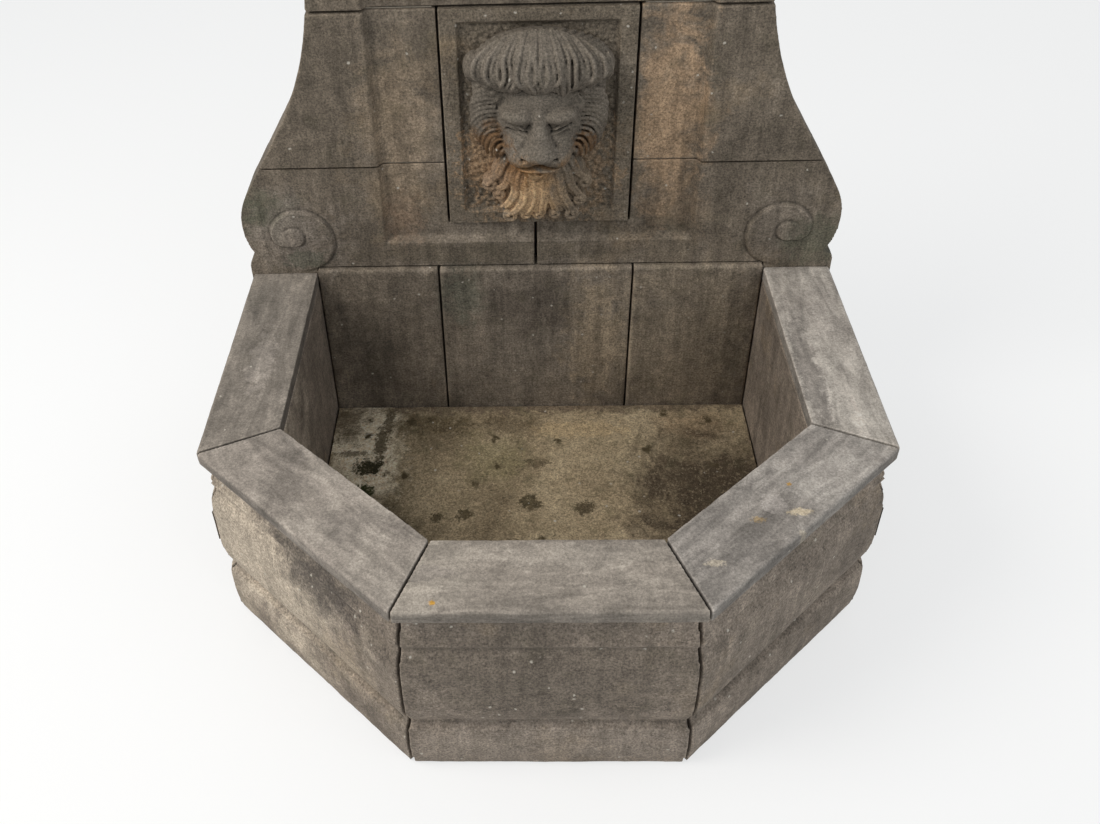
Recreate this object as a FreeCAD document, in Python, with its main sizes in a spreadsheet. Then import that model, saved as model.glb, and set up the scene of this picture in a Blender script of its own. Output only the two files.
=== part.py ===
import FreeCAD, Part

import math
import os
import re

import Sketcher
from FreeCAD import Rotation, Vector

# Garden wall fountain in carved stone: a basin of five mitred wall stones with copings in front of
# a scrolled back with a lion mask. X runs along the garden wall, Y runs back into it, Z is up.
# The origin is on the ground, on the centre line, in the plane of the back's front face.

SIZES = {
    # basin plan, measured at the outer edge of the copings
    "rim_half": 750, "side_run": 652, "front_half": 296, "projection": 1062,
    # copings
    "rim_height": 541, "coping_width": 172, "coping_thick": 37, "nose_round": 9, "coping_gap": 3,
    # wall stones: how far each part of the profile stands in from the coping's edge, and its height
    "wall_gap": 3.5, "neck_inset": 26, "band_inset": 10, "band_height": 446,
    "groove_inset": 20, "groove_height": 430, "belly_inset": 0, "belly_top": 350,
    "belly_low": 252, "notch_inset": 23, "notch_height": 166, "ledge_inset": 7,
    "ledge_height": 157, "plinth_bulge": 8, "foot_inset": 13, "floor_thick": 72,
    # back stones
    "back_depth": 130, "slab_height": 555, "slab_front": 14, "slab_left_joint": 261,
    "slab_right_joint": 243, "slab_gap": 3, "slab_arris": 6, "bed_thick": 2,
    # scrolled blocks
    "foot_half": 752, "foot_rise": 71, "foot_round": 6, "throat_half": 728, "throat_rise": 84,
    "scroll_top_half": 728, "scroll_top_height": 783, "scroll_bulge": 28,
    "joint_above_scroll": 70, "sweep_start_half": 622, "sweep_above_joint": 109,
    "neck_half": 511, "neck_height": 1370, "sweep_sagitta": 28, "rail_joint": 8, "rail_gap": 5,
    # sunk field round the lion panel
    "recess_half": 392, "recess_bottom": 631, "recess_top": 1299, "recess_deep": 20,
    "recess_splay": 12,
    # lion panel
    "panel_half": 227, "panel_bottom": 680, "panel_top": 1250, "panel_gap": 5, "panel_set": 12,
    "border_side": 43, "border_end": 34, "ground_deep": 10,
    # lion mask
    "mask_height": 962, "face_half": 106, "face_high": 118, "mane_half": 162, "mane_up": 238,
    "mane_down": 250, "mask_relief": 130, "mane_relief": 46, "lock_deep": 9, "lock_count": 15,
    # carved scroll
    "scroll_rise": 8, "scroll_seat": 8, "scroll_root_half": 600, "scroll_crown_half": 608,
    "scroll_crown_height": 734, "scroll_inner_half": 524, "scroll_outer_half": 684,
    "scroll_tail_half": 706, "eye_half": 626, "eye_height": 656, "eye_radius": 29, "eye_rise": 5,
    # cornice
    "cornice_high": 88, "cornice_out": 46, "cornice_fillet": 26,
    # steel cramps over the corner joints and dowels in the back
    "cramp_long": 200, "cramp_wide": 30, "cramp_thick": 6, "cramp_leg": 34, "cramp_room": 2,
    "dowel_wide": 30, "dowel_thick": 8, "dowel_long": 100, "dowel_room": 1,
    # holes for the ties to the garden wall
    "tie_radius": 7, "tie_deep": 80, "tie_half": 340, "tie_low": 905, "tie_high": 1185,
    # water pipe
    "pipe_radius": 11, "pipe_wall": 1, "pipe_room": 1, "chase_half": 25, "chase_deep": 45,
    "pipe_back": 24, "mouth_height": 868, "spout_reach": 46, "socket_long": 34,
    "socket_wall": 2.5, "elbow_stop": 16, "inlet_height": 60, "clip_wide": 16, "clip_wall": 2.5,
    "clip_low": 330, "clip_step": 240, "nut_radius": 18, "nut_long": 30, "nut_stop": 10,
    "inlet_radius": 13.2, "inlet_long": 16,
    # drain
    "drain_from_back": 700, "drain_radius": 21, "drain_wall": 2, "drain_room": 1,
    "flange_radius": 36, "flange_thick": 4, "grid_radius": 30, "grid_thick": 2.5,
    "grid_rim": 6, "slot_wide": 5, "slot_step": 10, "drain_lift": 5,
    # set-back mortar in the open joints
    "mortar_set": 26, "mortar_stop": 6,
}

doc = FreeCAD.newDocument("GardenWallFountain")
sheet = doc.addObject("Spreadsheet::Sheet", "Sizes")
for row, (alias, value) in enumerate(SIZES.items(), start=1):
    sheet.set(f"A{row}", alias)
    sheet.set(f"B{row}", str(value))
    sheet.setAlias(f"B{row}", alias)
doc.recompute()

ALIAS = re.compile(r"\b(" + "|".join(sorted(SIZES, key=len, reverse=True)) + r")\b")


def bound(text):
    """The expression with each size's name pointing at its cell."""
    return ALIAS.sub(r"Sizes.\1", str(text))


def number(text):
    """What the expression comes to now, in millimetres or degrees."""
    result = sheet.evalExpression(bound(text))
    return float(getattr(result, "Value", result))


def bind(thing, prop, text):
    thing.setExpression(prop, bound(text))


# Angles and corners of the basin's plan
DIAGONAL_TURN = "atan2(projection - side_run; rim_half - front_half)"
DIAGONAL_RUN = "sqrt((rim_half - front_half)^2 + (projection - side_run)^2)"
FRONT_MITRE = f"({DIAGONAL_TURN}) / 2"
SIDE_MITRE = f"(90 deg - {DIAGONAL_TURN}) / 2"


def side_corner_run(inset):
    """How far in front of the back the side corner is, on a line that stands in by inset."""
    return f"(side_run - ({inset}) * tan({SIDE_MITRE}))"


def front_corner_half(inset):
    """Half the front's width on a line that stands in by inset."""
    return f"(front_half - ({inset}) * tan({FRONT_MITRE}))"


def origin_plane(body, role):
    for feature in body.Origin.OriginFeatures:
        if feature.Role == role:
            return feature
    raise RuntimeError("no origin plane " + role)


def new_body(name):
    body = doc.addObject("PartDesign::Body", name)
    body.Label = name
    return body


def closed_sketch(owner, name, role, loops):
    """A sketch of closed loops. Each loop is a list of corners (x, y) or (x, y, sagitta): the edge
    that arrives at a corner with a sagitta is an arc that bulges to its left by that much."""
    if owner.TypeId == "PartDesign::Body":
        sketch = owner.newObject("Sketcher::SketchObject", name)
        sketch.AttachmentSupport = (origin_plane(owner, role), "")
        sketch.MapMode = "FlatFace"
    for corners in loops:
        count = len(corners)
        places = [Vector(number(c[0]), number(c[1]), 0) for c in corners]
        ends = []
        for index, corner in enumerate(corners):
            start, end = places[index - 1], places[index]
            if len(corner) == 2:
                edge = sketch.addGeometry(Part.LineSegment(start, end), False)
                ends.append((edge, 1, 2))
                continue
            sagitta = number(corner[2])
            run = end - start
            left = Vector(-run.y, run.x, 0).normalize()
            middle = (start + end) * 0.5 + left * sagitta
            edge = sketch.addGeometry(Part.ArcOfCircle(start, middle, end), False)
            ends.append((edge, 2, 1) if sagitta > 0 else (edge, 1, 2))
            before = corners[index - 1]
            run_x = f"(({corner[0]}) - ({before[0]}))"
            run_y = f"(({corner[1]}) - ({before[1]}))"
            chord = f"sqrt({run_x}^2 + {run_y}^2)"
            off = f"((({corner[2]})^2 - {chord}^2 / 4) / (2 * ({corner[2]}) * {chord}))"
            if abs(run.y) > abs(run.x):
                kind, text = "DistanceX", f"(({corner[0]}) + ({before[0]})) / 2 - {run_y} * {off}"
            else:
                kind, text = "DistanceY", f"(({corner[1]}) + ({before[1]})) / 2 + {run_x} * {off}"
            rule = sketch.addConstraint(Sketcher.Constraint(kind, -1, 1, edge, 3, number(text)))
            sketch.setExpression(f"Constraints[{rule}]", bound(text))
        for index in range(count):
            edge, _, finish = ends[index]
            following, begin, _ = ends[(index + 1) % count]
            sketch.addConstraint(
                Sketcher.Constraint("Coincident", edge, finish, following, begin))
            for kind, text in (("DistanceX", corners[index][0]), ("DistanceY", corners[index][1])):
                value = number(text)
                rule = sketch.addConstraint(
                    Sketcher.Constraint(kind, -1, 1, edge, finish, value))
                sketch.setExpression(f"Constraints[{rule}]", bound(text))
    return sketch


def pad(body, name, sketch, length, both_ways=False, backwards=False):
    feature = body.newObject("PartDesign::Pad", name)
    feature.Profile = sketch
    feature.Midplane = both_ways
    feature.Reversed = backwards
    bind(feature, "Length", length)
    return feature


def pocket(body, name, sketch, depth=None, backwards=False, taper=None):
    """A pocket that must take something off. Without a depth it goes right through both ways."""
    doc.recompute()
    before = body.Shape.Volume
    feature = body.newObject("PartDesign::Pocket", name)
    feature.Profile = sketch
    feature.Reversed = backwards
    if depth is None:
        feature.Type = "ThroughAll"
        feature.Midplane = True
    else:
        bind(feature, "Length", depth)
    if taper is not None:
        bind(feature, "TaperAngle", taper)
    doc.recompute()
    if not body.Shape.Volume < before - 1:
        raise RuntimeError(name + " cuts nothing")
    return feature


def move_y(body, text):
    bind(body, "Placement.Base.y", text)


FINISHED = []


def finish(thing, name):
    """Notes a finished piece, which is written out under this name."""
    thing.Label = name
    FINISHED.append((name, thing))
    return thing


def cut(name, base, tools):
    """The stone with the spaces of other pieces cut out of it."""
    spaces = doc.addObject("Part::Compound", name + "_spaces")
    spaces.Links = tools
    result = doc.addObject("Part::Cut", name)
    result.Base = base
    result.Tool = spaces
    return finish(result, name)


def box(name, length, width, height, x, y, z, turn=None, axis=Vector(0, 0, 1)):
    """A box centred on x and y and standing on z, turned about the upright line through its middle.
    turn is an angle's expression, and axis says which way it turns."""
    item = doc.addObject("Part::Box", name)
    bind(item, "Length", length)
    bind(item, "Width", width)
    bind(item, "Height", height)
    angle = number(turn) if turn else 0
    item.Placement = FreeCAD.Placement(Vector(), Rotation(axis, angle))
    if turn is None:
        bind(item, "Placement.Base.x", f"({x}) - ({length}) / 2")
        bind(item, "Placement.Base.y", f"({y}) - ({width}) / 2")
    else:
        way = 1 if axis.z > 0 else -1
        bind(item, "Placement.Rotation.Angle", turn)
        half = f"({length}) / 2", f"({width}) / 2"
        bind(item, "Placement.Base.x",
             f"({x}) - {half[0]} * cos({turn}) + {way} * {half[1]} * sin({turn})")
        bind(item, "Placement.Base.y",
             f"({y}) - {way} * {half[0]} * sin({turn}) - {half[1]} * cos({turn})")
    bind(item, "Placement.Base.z", z)
    return item


def cylinder(name, radius, height, x, y, z, along="up"):
    """A cylinder that starts at x, y, z and runs up or back."""
    item = doc.addObject("Part::Cylinder", name)
    bind(item, "Radius", radius)
    bind(item, "Height", height)
    if along == "back":
        item.Placement = FreeCAD.Placement(Vector(), Rotation(Vector(1, 0, 0), -90))
    bind(item, "Placement.Base.x", x)
    bind(item, "Placement.Base.y", y)
    bind(item, "Placement.Base.z", z)
    return item


def compound(name, parts):
    """Several loose solids of one kind in one piece."""
    group = doc.addObject("Part::Compound", name)
    group.Links = parts
    return finish(group, name)


# Basin stones. Each is drawn in its own place: its X runs along the coping's outer edge, from left
# to right as seen from outside, its Y runs into the basin, and its ends are mitred at the corners.
NOSE = "-nose_round * (1 - sqrt(0.5))"
COPING_PROFILE = [
    ("nose_round", "rim_height - coping_thick", NOSE),
    ("coping_width", "rim_height - coping_thick"),
    ("coping_width", "rim_height"),
    ("nose_round", "rim_height"),
    ("0", "rim_height - nose_round", NOSE),
    ("0", "rim_height - coping_thick + nose_round"),
]
WALL_TOP = "(rim_height - coping_thick)"
BELLY_UP = "(groove_height - belly_top)"
BELLY_DOWN = "(belly_low - notch_height)"
BELLY_RISE = "(groove_inset - belly_inset)"
BELLY_FALL = "(notch_inset - belly_inset)"


def quarter_sagitta(rise, run):
    """How far a quarter of an upright swelling stands out from its chord: an arc that ends upright."""
    chord = f"sqrt(({rise})^2 + ({run})^2)"
    radius = f"((({rise})^2 + ({run})^2) / (2 * ({rise})))"
    return f"({radius} - sqrt({radius}^2 - ({chord})^2 / 4))"


WALL_PROFILE = [
    ("coping_width", "0"),
    ("coping_width", WALL_TOP),
    ("neck_inset", WALL_TOP),
    ("band_inset", "band_height", "(neck_inset - band_inset) / 3"),
    ("groove_inset", "groove_height"),
    ("belly_inset", "belly_top", "-" + quarter_sagitta(BELLY_RISE, BELLY_UP)),
    ("belly_inset", "belly_low"),
    ("notch_inset", "notch_height", "-" + quarter_sagitta(BELLY_FALL, BELLY_DOWN)),
    ("ledge_inset", "ledge_height"),
    ("foot_inset", "0", "-plinth_bulge"),
]


def basin_stone(name, profile, run, gap, left_turn, right_turn):
    """A stone of this profile along run. A turn is the corner's mitre, and None leaves a square end."""
    body = new_body(name)
    section = closed_sketch(body, name + "_section", "YZ_Plane", [profile])
    pad(body, name + "_run", section, f"{run} + 2 * coping_width", both_ways=True)
    ends = []
    for side, turn in ((-1, left_turn), (1, right_turn)):
        near, far = "-coping_width / 4", "coping_width * 5 / 4"
        if turn is None:
            inner = outer = f"{run} / 2"
        else:
            shift = f"{run} / 2 - {gap} / (2 * cos({turn}))"
            outer = f"{shift} - ({near}) * tan({turn})"
            inner = f"{shift} - ({far}) * tan({turn})"
        past = f"{run} / 2 + coping_width * 3 / 2"
        ends.append([(f"{side} * ({outer})", near), (f"{side} * ({past})", near),
                     (f"{side} * ({past})", far), (f"{side} * ({inner})", far)])
    pocket(body, name + "_mitres", closed_sketch(body, name + "_ends", "XY_Plane", ends))
    return body


def set_basin_stone(body, where, side_middle):
    """Puts a stone on its side of the basin. side_middle is how far in front of the back the middle
    of a side stone is."""
    if where == "front":
        move_y(body, "-projection")
        return
    side = -1 if "left" in where else 1
    if "front" in where:
        body.Placement = FreeCAD.Placement(
            Vector(), Rotation(Vector(0, 0, side), number(DIAGONAL_TURN)))
        bind(body, "Placement.Rotation.Angle", DIAGONAL_TURN)
        bind(body, "Placement.Base.x", f"{side} * (rim_half + front_half) / 2")
        move_y(body, "-(side_run + projection) / 2")
    else:
        body.Placement = FreeCAD.Placement(Vector(), Rotation(Vector(0, 0, side), 90))
        bind(body, "Placement.Base.x", f"{side} * rim_half")
        move_y(body, f"-({side_middle})")


BASIN_SIDES = {
    "left": (None, SIDE_MITRE),
    "front_left": (SIDE_MITRE, FRONT_MITRE),
    "front": (FRONT_MITRE, FRONT_MITRE),
    "front_right": (FRONT_MITRE, SIDE_MITRE),
    "right": (SIDE_MITRE, None),
}


def basin_ring(kind, profile, gap, side_run, side_middle):
    stones = {}
    for where, (left_turn, right_turn) in BASIN_SIDES.items():
        if where == "front":
            run = "(2 * front_half)"
        else:
            run = DIAGONAL_RUN if "front" in where else side_run
        stone = basin_stone(f"{kind}_{where}", profile, run, gap, left_turn, right_turn)
        set_basin_stone(stone, where, side_middle)
        stones[where] = stone
    return stones


copings = basin_ring("coping", COPING_PROFILE, "coping_gap", "side_run", "side_run / 2")
for where, stone in copings.items():
    finish(stone, "coping_" + where)

# The side walls run on under the scrolled blocks to the back
wall_blanks = basin_ring("wall_blank", WALL_PROFILE, "wall_gap", "(side_run + back_depth)",
                         "(side_run - back_depth) / 2")

# Cramps: flat steel bars with turned-down ends, let into the wall tops across the corner joints
MITRE_MIDDLE = "(coping_width + neck_inset) / 2"


def corner_place(side, corner):
    """The middle of the wall on a corner's mitre line, and the way that line runs in from it."""
    if corner == "front":
        bearing, mitre = FRONT_MITRE, FRONT_MITRE
        start = "front_half", "-projection"
    else:
        bearing, mitre = f"(90 deg + {DIAGONAL_TURN}) / 2", SIDE_MITRE
        start = "rim_half", "-side_run"
    return side, bearing, mitre, start


def on_mitre(side, corner, inset):
    """The point of a corner's mitre line that stands in by inset from both copings' edges."""
    _, bearing, mitre, start = corner_place(side, corner)
    x = f"{side} * ({start[0]} - ({inset}) / cos({mitre}) * sin({bearing}))"
    y = f"({start[1]} + ({inset}) / cos({mitre}) * cos({bearing}))"
    return x, y


def mitre_box(name, side, corner, across, from_inset, to_inset, low, high):
    """A box of the given width across a corner's joint, between two insets along it."""
    _, bearing, mitre, _ = corner_place(side, corner)
    x, y = on_mitre(side, corner, f"(({from_inset}) + ({to_inset})) / 2")
    length = f"(({to_inset}) - ({from_inset})) / cos({mitre})"
    return box(name, across, length, f"({high}) - ({low})", x, y, low, bearing,
               Vector(0, 0, side))


CORNERS = [(-1, "side"), (-1, "front"), (1, "front"), (1, "side")]
BAR_TOP = f"({WALL_TOP} - cramp_room)"
BAR_LOW = f"({BAR_TOP} - cramp_thick)"


def cramp_leg_boxes(name, side, corner, wide, thick, low, high):
    """The two ends of a cramp, either side of the joint."""
    _, bearing, _, _ = corner_place(side, corner)
    x, y = on_mitre(side, corner, MITRE_MIDDLE)
    reach = "(cramp_long - cramp_thick) / 2"
    legs = []
    for end in (-1, 1):
        leg_x = f"{x} + {end} * {reach} * cos({bearing})"
        leg_y = f"{y} + {side * end} * {reach} * sin({bearing})"
        legs.append(box(f"{name}_{end + 1}", thick, wide, f"({high}) - ({low})",
                        leg_x, leg_y, low, bearing, Vector(0, 0, side)))
    return legs


cramps = []
cramp_spaces = []
for number_of, (side, corner) in enumerate(CORNERS, start=1):
    _, bearing, _, _ = corner_place(side, corner)
    x, y = on_mitre(side, corner, MITRE_MIDDLE)
    bar = box(f"cramp_bar_{number_of}", "cramp_long", "cramp_wide", "cramp_thick",
              x, y, BAR_LOW, bearing, Vector(0, 0, side))
    legs = cramp_leg_boxes(f"cramp_leg_{number_of}", side, corner, "cramp_wide", "cramp_thick",
                           f"{BAR_LOW} - cramp_leg", f"{BAR_TOP}")
    cramp = doc.addObject("Part::MultiFuse", f"cramp_{number_of}")
    cramp.Shapes = [bar] + legs
    cramps.append(cramp)
    cramp_spaces.append(box(f"cramp_slot_{number_of}", "cramp_long + 2 * cramp_room",
                            "cramp_wide + 2 * cramp_room", f"cramp_thick + 2 * cramp_room",
                            x, y, BAR_LOW, bearing, Vector(0, 0, side)))
    cramp_spaces += cramp_leg_boxes(f"cramp_hole_{number_of}", side, corner,
                                    "cramp_wide + 2 * cramp_room", "cramp_thick + 2 * cramp_room",
                                    f"{BAR_LOW} - cramp_leg - cramp_room", f"{BAR_TOP}")
for where, stone in wall_blanks.items():
    cut("wall_" + where, stone, cramp_spaces)
compound("wall_cramps", cramps)

# Mortar in the corner joints, set back from the outer faces
MORTAR_TOP = f"({WALL_TOP} - cramp_thick - 3 * cramp_room)"
compound("wall_corner_mortar", [
    mitre_box(f"wall_mortar_{index}", side, corner, "wall_gap", "neck_inset + mortar_set",
              "coping_width - mortar_stop", "0", MORTAR_TOP)
    for index, (side, corner) in enumerate(CORNERS, start=1)])
compound("coping_corner_mortar", [
    mitre_box(f"coping_mortar_{index}", side, corner, "coping_gap", "mortar_set",
              "coping_width - mortar_stop", WALL_TOP, "rim_height - 2 * mortar_stop")
    for index, (side, corner) in enumerate(CORNERS, start=1)])

# Basin floor: one slab inside the walls, with the hole of the drain
floor_body = new_body("floor_blank")
INNER_HALF = "(rim_half - coping_width)"
INNER_RUN = side_corner_run("coping_width")
INNER_FRONT = front_corner_half("coping_width")
floor_plan = []
for side in (-1, 1):
    points = [(f"{side} * {INNER_HALF}", "-slab_front"),
              (f"{side} * {INNER_HALF}", f"-{INNER_RUN}"),
              (f"{side} * {INNER_FRONT}", "-(projection - coping_width)")]
    floor_plan += points if side == -1 else points[::-1]
pad(floor_body, "floor_slab", closed_sketch(floor_body, "floor_plan", "XY_Plane", [floor_plan]),
    "floor_thick")
drain_hole = cylinder("drain_hole", "drain_radius + drain_room", "floor_thick",
                      "0", "-drain_from_back", "0")
drain_seat = cylinder("drain_seat", "flange_radius + drain_room", "flange_thick",
                      "0", "-drain_from_back", "floor_thick - flange_thick")
cut("basin_floor", floor_body, [drain_hole, drain_seat])

# Drain: a turned brass outlet with a flange let into the floor, and a slotted brass grid in it
DRAIN_LONG = "(floor_thick - drain_lift)"
outlet = doc.addObject("Part::Fuse", "drain_solid")
outlet.Base = cylinder("drain_tail", "drain_radius", DRAIN_LONG,
                       "0", "-drain_from_back", "drain_lift")
outlet.Tool = cylinder("drain_flange", "flange_radius", "flange_thick",
                       "0", "-drain_from_back", "floor_thick - flange_thick")
drain_bore = cylinder("drain_bore", "drain_radius - drain_wall", "floor_thick",
                      "0", "-drain_from_back", "0")
grid_seat = cylinder("grid_seat", "grid_radius + pipe_room / 4", "grid_thick",
                     "0", "-drain_from_back", "floor_thick - grid_thick")
cut("drain_outlet", outlet, [drain_bore, grid_seat])
plate = cylinder("grid_plate", "grid_radius", "grid_thick",
                 "0", "-drain_from_back", "floor_thick - grid_thick")
grid_slots = []
for index in range(-2, 3):
    place = f"({index} * slot_step)"
    grid_slots.append(box(f"grid_slot_{index + 3}", "slot_wide",
                          f"2 * sqrt((grid_radius - grid_rim) ^ 2 - {place} ^ 2)", "grid_thick",
                          place, "-drain_from_back", "floor_thick - grid_thick"))
cut("drain_grid", plate, grid_slots)


def upright_stone(name, loops, front, depth):
    """A stone drawn as seen from the front, whose face is at front and which runs back by depth."""
    body = new_body(name)
    face = closed_sketch(body, name + "_face", "XZ_Plane", loops)
    pad(body, name + "_stone", face, depth, backwards=True)
    move_y(body, front)
    return body


def rectangle(left, right, low, high):
    return [(left, low), (right, low), (right, high), (left, high)]


# Chase for the water pipe in the backs of the middle stones
CHASE_FRONT = "(back_depth - chase_deep)"
chase = box("chase", "2 * chase_half", "chase_deep", "mouth_height + 2 * chase_half",
            "0", "back_depth - chase_deep / 2", "0")

# Back slabs of the basin, with a small splay along their top front edge
SLAB_ENDS = {
    "left": (f"-{INNER_HALF}", "-slab_left_joint - slab_gap / 2"),
    "middle": ("-slab_left_joint + slab_gap / 2", "slab_right_joint - slab_gap / 2"),
    "right": ("slab_right_joint + slab_gap / 2", INNER_HALF),
}
for where, (left, right) in SLAB_ENDS.items():
    slab = new_body(f"slab_{where}_blank")
    section = closed_sketch(slab, f"slab_{where}_section", "YZ_Plane", [[
        ("-slab_front", "0"), ("back_depth", "0"), ("back_depth", "slab_height"),
        ("-slab_front + slab_arris", "slab_height"),
        ("-slab_front", "slab_height - slab_arris"),
    ]])
    pad(slab, f"slab_{where}_stone", section, f"({right}) - ({left})", both_ways=True)
    bind(slab, "Placement.Base.x", f"(({left}) + ({right})) / 2")
    if where == "middle":
        cut("back_slab_middle", slab, [chase])
    else:
        finish(slab, "back_slab_" + where)

# Scrolled blocks of the back. Half of the outline, from the foot up: foot, throat, scroll, sweep.
RAIL_LOW = "(slab_height + bed_thick)"
FOOT_TOP = f"({WALL_TOP} + foot_rise)"
THROAT = f"({WALL_TOP} + throat_rise)"
BLOCK_JOINT = "(scroll_top_height + joint_above_scroll)"
LOWER_TOP = f"({BLOCK_JOINT} - bed_thick / 2)"
UPPER_LOW = f"({BLOCK_JOINT} + bed_thick / 2)"
SWEEP_START = f"({BLOCK_JOINT} + sweep_above_joint)"
UPPER_TOP = "(panel_top - bed_thick / 2)"
LINTEL_LOW = "(panel_top + bed_thick / 2)"
SWEEP_SLOPE = f"((scroll_top_half - sweep_start_half) / ({SWEEP_START} - scroll_top_height))"


def straight_half(height):
    """Half the back's width at a height on the straight part of its side."""
    return f"(scroll_top_half - (({height}) - scroll_top_height) * {SWEEP_SLOPE})"


SWEEP_CHORD = f"sqrt((sweep_start_half - neck_half)^2 + (neck_height - {SWEEP_START})^2)"
SWEEP_RADIUS = f"(({SWEEP_CHORD}^2 / 4 + sweep_sagitta^2) / (2 * sweep_sagitta))"
SWEEP_OFF = f"(({SWEEP_RADIUS} - sweep_sagitta) / {SWEEP_CHORD})"
SWEEP_X = (f"((sweep_start_half + neck_half) / 2"
           f" + {SWEEP_OFF} * (neck_height - {SWEEP_START}))")
SWEEP_Z = (f"(({SWEEP_START} + neck_height) / 2"
           f" + {SWEEP_OFF} * (sweep_start_half - neck_half))")


def sweep_half(height):
    """Half the back's width at a height on the hollow sweep, an arc about a point outside."""
    return f"({SWEEP_X} - sqrt({SWEEP_RADIUS}^2 - (({height}) - {SWEEP_Z})^2))"


def sweep_bulge(low, high):
    """The sagitta of the sweep's arc between two heights."""
    chord = (f"sqrt((({sweep_half(low)}) - ({sweep_half(high)}))^2"
             f" + (({high}) - ({low}))^2)")
    return f"({SWEEP_RADIUS} - sqrt({SWEEP_RADIUS}^2 - ({chord})^2 / 4))"


RECESS_TAPER = "-atan2(recess_splay; recess_deep)"


def mirrored(corners, side):
    """The corners on this side of the centre line. Mirroring turns the arcs over."""
    if side > 0:
        return corners
    flipped = [(f"-({c[0]})", c[1]) + ((f"-({c[2]})",) if len(c) > 2 else ()) for c in corners]
    return flipped


def sunk_field(body, name, side, low, high, inner):
    """The sunk field's share of a block, with its splayed edge, cut past the joints."""
    loop = mirrored(rectangle(inner, "recess_half", low, high), side)
    face = closed_sketch(body, name + "_field", "XZ_Plane", [loop])
    pocket(body, name + "_recess", face, "recess_deep", taper=RECESS_TAPER)


def carved_scroll(body, name, side):
    """The scroll in relief: a disc that winds in to a round eye, and a tail along the coping."""
    low = "(rim_height + scroll_seat)"
    turn_half = "eye_half + scroll_seat"
    crown_to_turn = f"((scroll_crown_half + {turn_half}) / 2)"
    loop = [
        ("scroll_root_half", low),
        ("scroll_crown_half", "scroll_crown_height",
         "(scroll_root_half + scroll_crown_half) / 2 - scroll_inner_half"),
        (turn_half, "eye_height - eye_radius", f"scroll_outer_half - {crown_to_turn}"),
        ("scroll_tail_half", low, "-scroll_seat"),
    ]
    disc = closed_sketch(body, name + "_disc", "XZ_Plane", [mirrored(loop, side)])
    pad(body, name + "_scroll", disc, "scroll_rise")
    ring = [("eye_half", "eye_height - eye_radius"),
            ("eye_half", "eye_height + eye_radius", "eye_radius")]
    ring[0] += ("eye_radius",)
    eye = closed_sketch(body, name + "_ring", "XZ_Plane", [mirrored(ring, side)])
    pad(body, name + "_eye", eye, "scroll_rise + eye_rise")


def back_blocks(side, word):
    rail_end = f"({side} * (-rail_joint) + rail_gap / 2)"
    panel_side = "(panel_half + panel_gap / 2)"
    lower = upright_stone(f"lower_{word}_blank", [mirrored([
        (rail_end, RAIL_LOW),
        (INNER_HALF, RAIL_LOW),
        (INNER_HALF, WALL_TOP),
        ("foot_half", WALL_TOP),
        ("foot_half", f"{FOOT_TOP}", "-foot_round / 2"),
        ("throat_half", THROAT),
        ("scroll_top_half", "scroll_top_height", "-scroll_bulge"),
        (straight_half(LOWER_TOP), LOWER_TOP),
        (panel_side, LOWER_TOP),
        (panel_side, "panel_bottom - bed_thick"),
        (rail_end, "panel_bottom - bed_thick"),
    ], side)], "0", "back_depth")
    past = "recess_deep"
    sunk_field(lower, f"lower_{word}", side, "recess_bottom", f"{LOWER_TOP} + 2 * {past}",
               "-2 * recess_deep - rail_joint")
    carved_scroll(lower, f"lower_{word}", side)
    upper = upright_stone(f"upper_{word}_blank", [mirrored([
        (panel_side, UPPER_LOW),
        (straight_half(UPPER_LOW), UPPER_LOW),
        ("sweep_start_half", SWEEP_START),
        (sweep_half(UPPER_TOP), UPPER_TOP, sweep_bulge(SWEEP_START, UPPER_TOP)),
        (panel_side, UPPER_TOP),
    ], side)], "0", "back_depth")
    sunk_field(upper, f"upper_{word}", side, f"{UPPER_LOW} - 2 * {past}",
               f"{UPPER_TOP} + 2 * {past}", f"{panel_side} - 2 * {past}")
    return lower, upper


lower_left, upper_left = back_blocks(-1, "left")
lower_right, upper_right = back_blocks(1, "right")

# Lintel over the lion panel, which closes the sunk field, and the cornice on top of it
lintel_half = [
    (sweep_half(LINTEL_LOW), LINTEL_LOW),
    ("neck_half", "neck_height", sweep_bulge(LINTEL_LOW, "neck_height")),
]
lintel = upright_stone("lintel_blank", [
    lintel_half + [("-neck_half", "neck_height"),
                   (f"-{sweep_half(LINTEL_LOW)}", LINTEL_LOW,
                    sweep_bulge(LINTEL_LOW, "neck_height"))]], "0", "back_depth")
lintel_face = closed_sketch(lintel, "lintel_field", "XZ_Plane", [
    rectangle("-recess_half", "recess_half", "panel_top - 2 * recess_deep", "recess_top")])
pocket(lintel, "lintel_recess", lintel_face, "recess_deep", taper=RECESS_TAPER)

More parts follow.
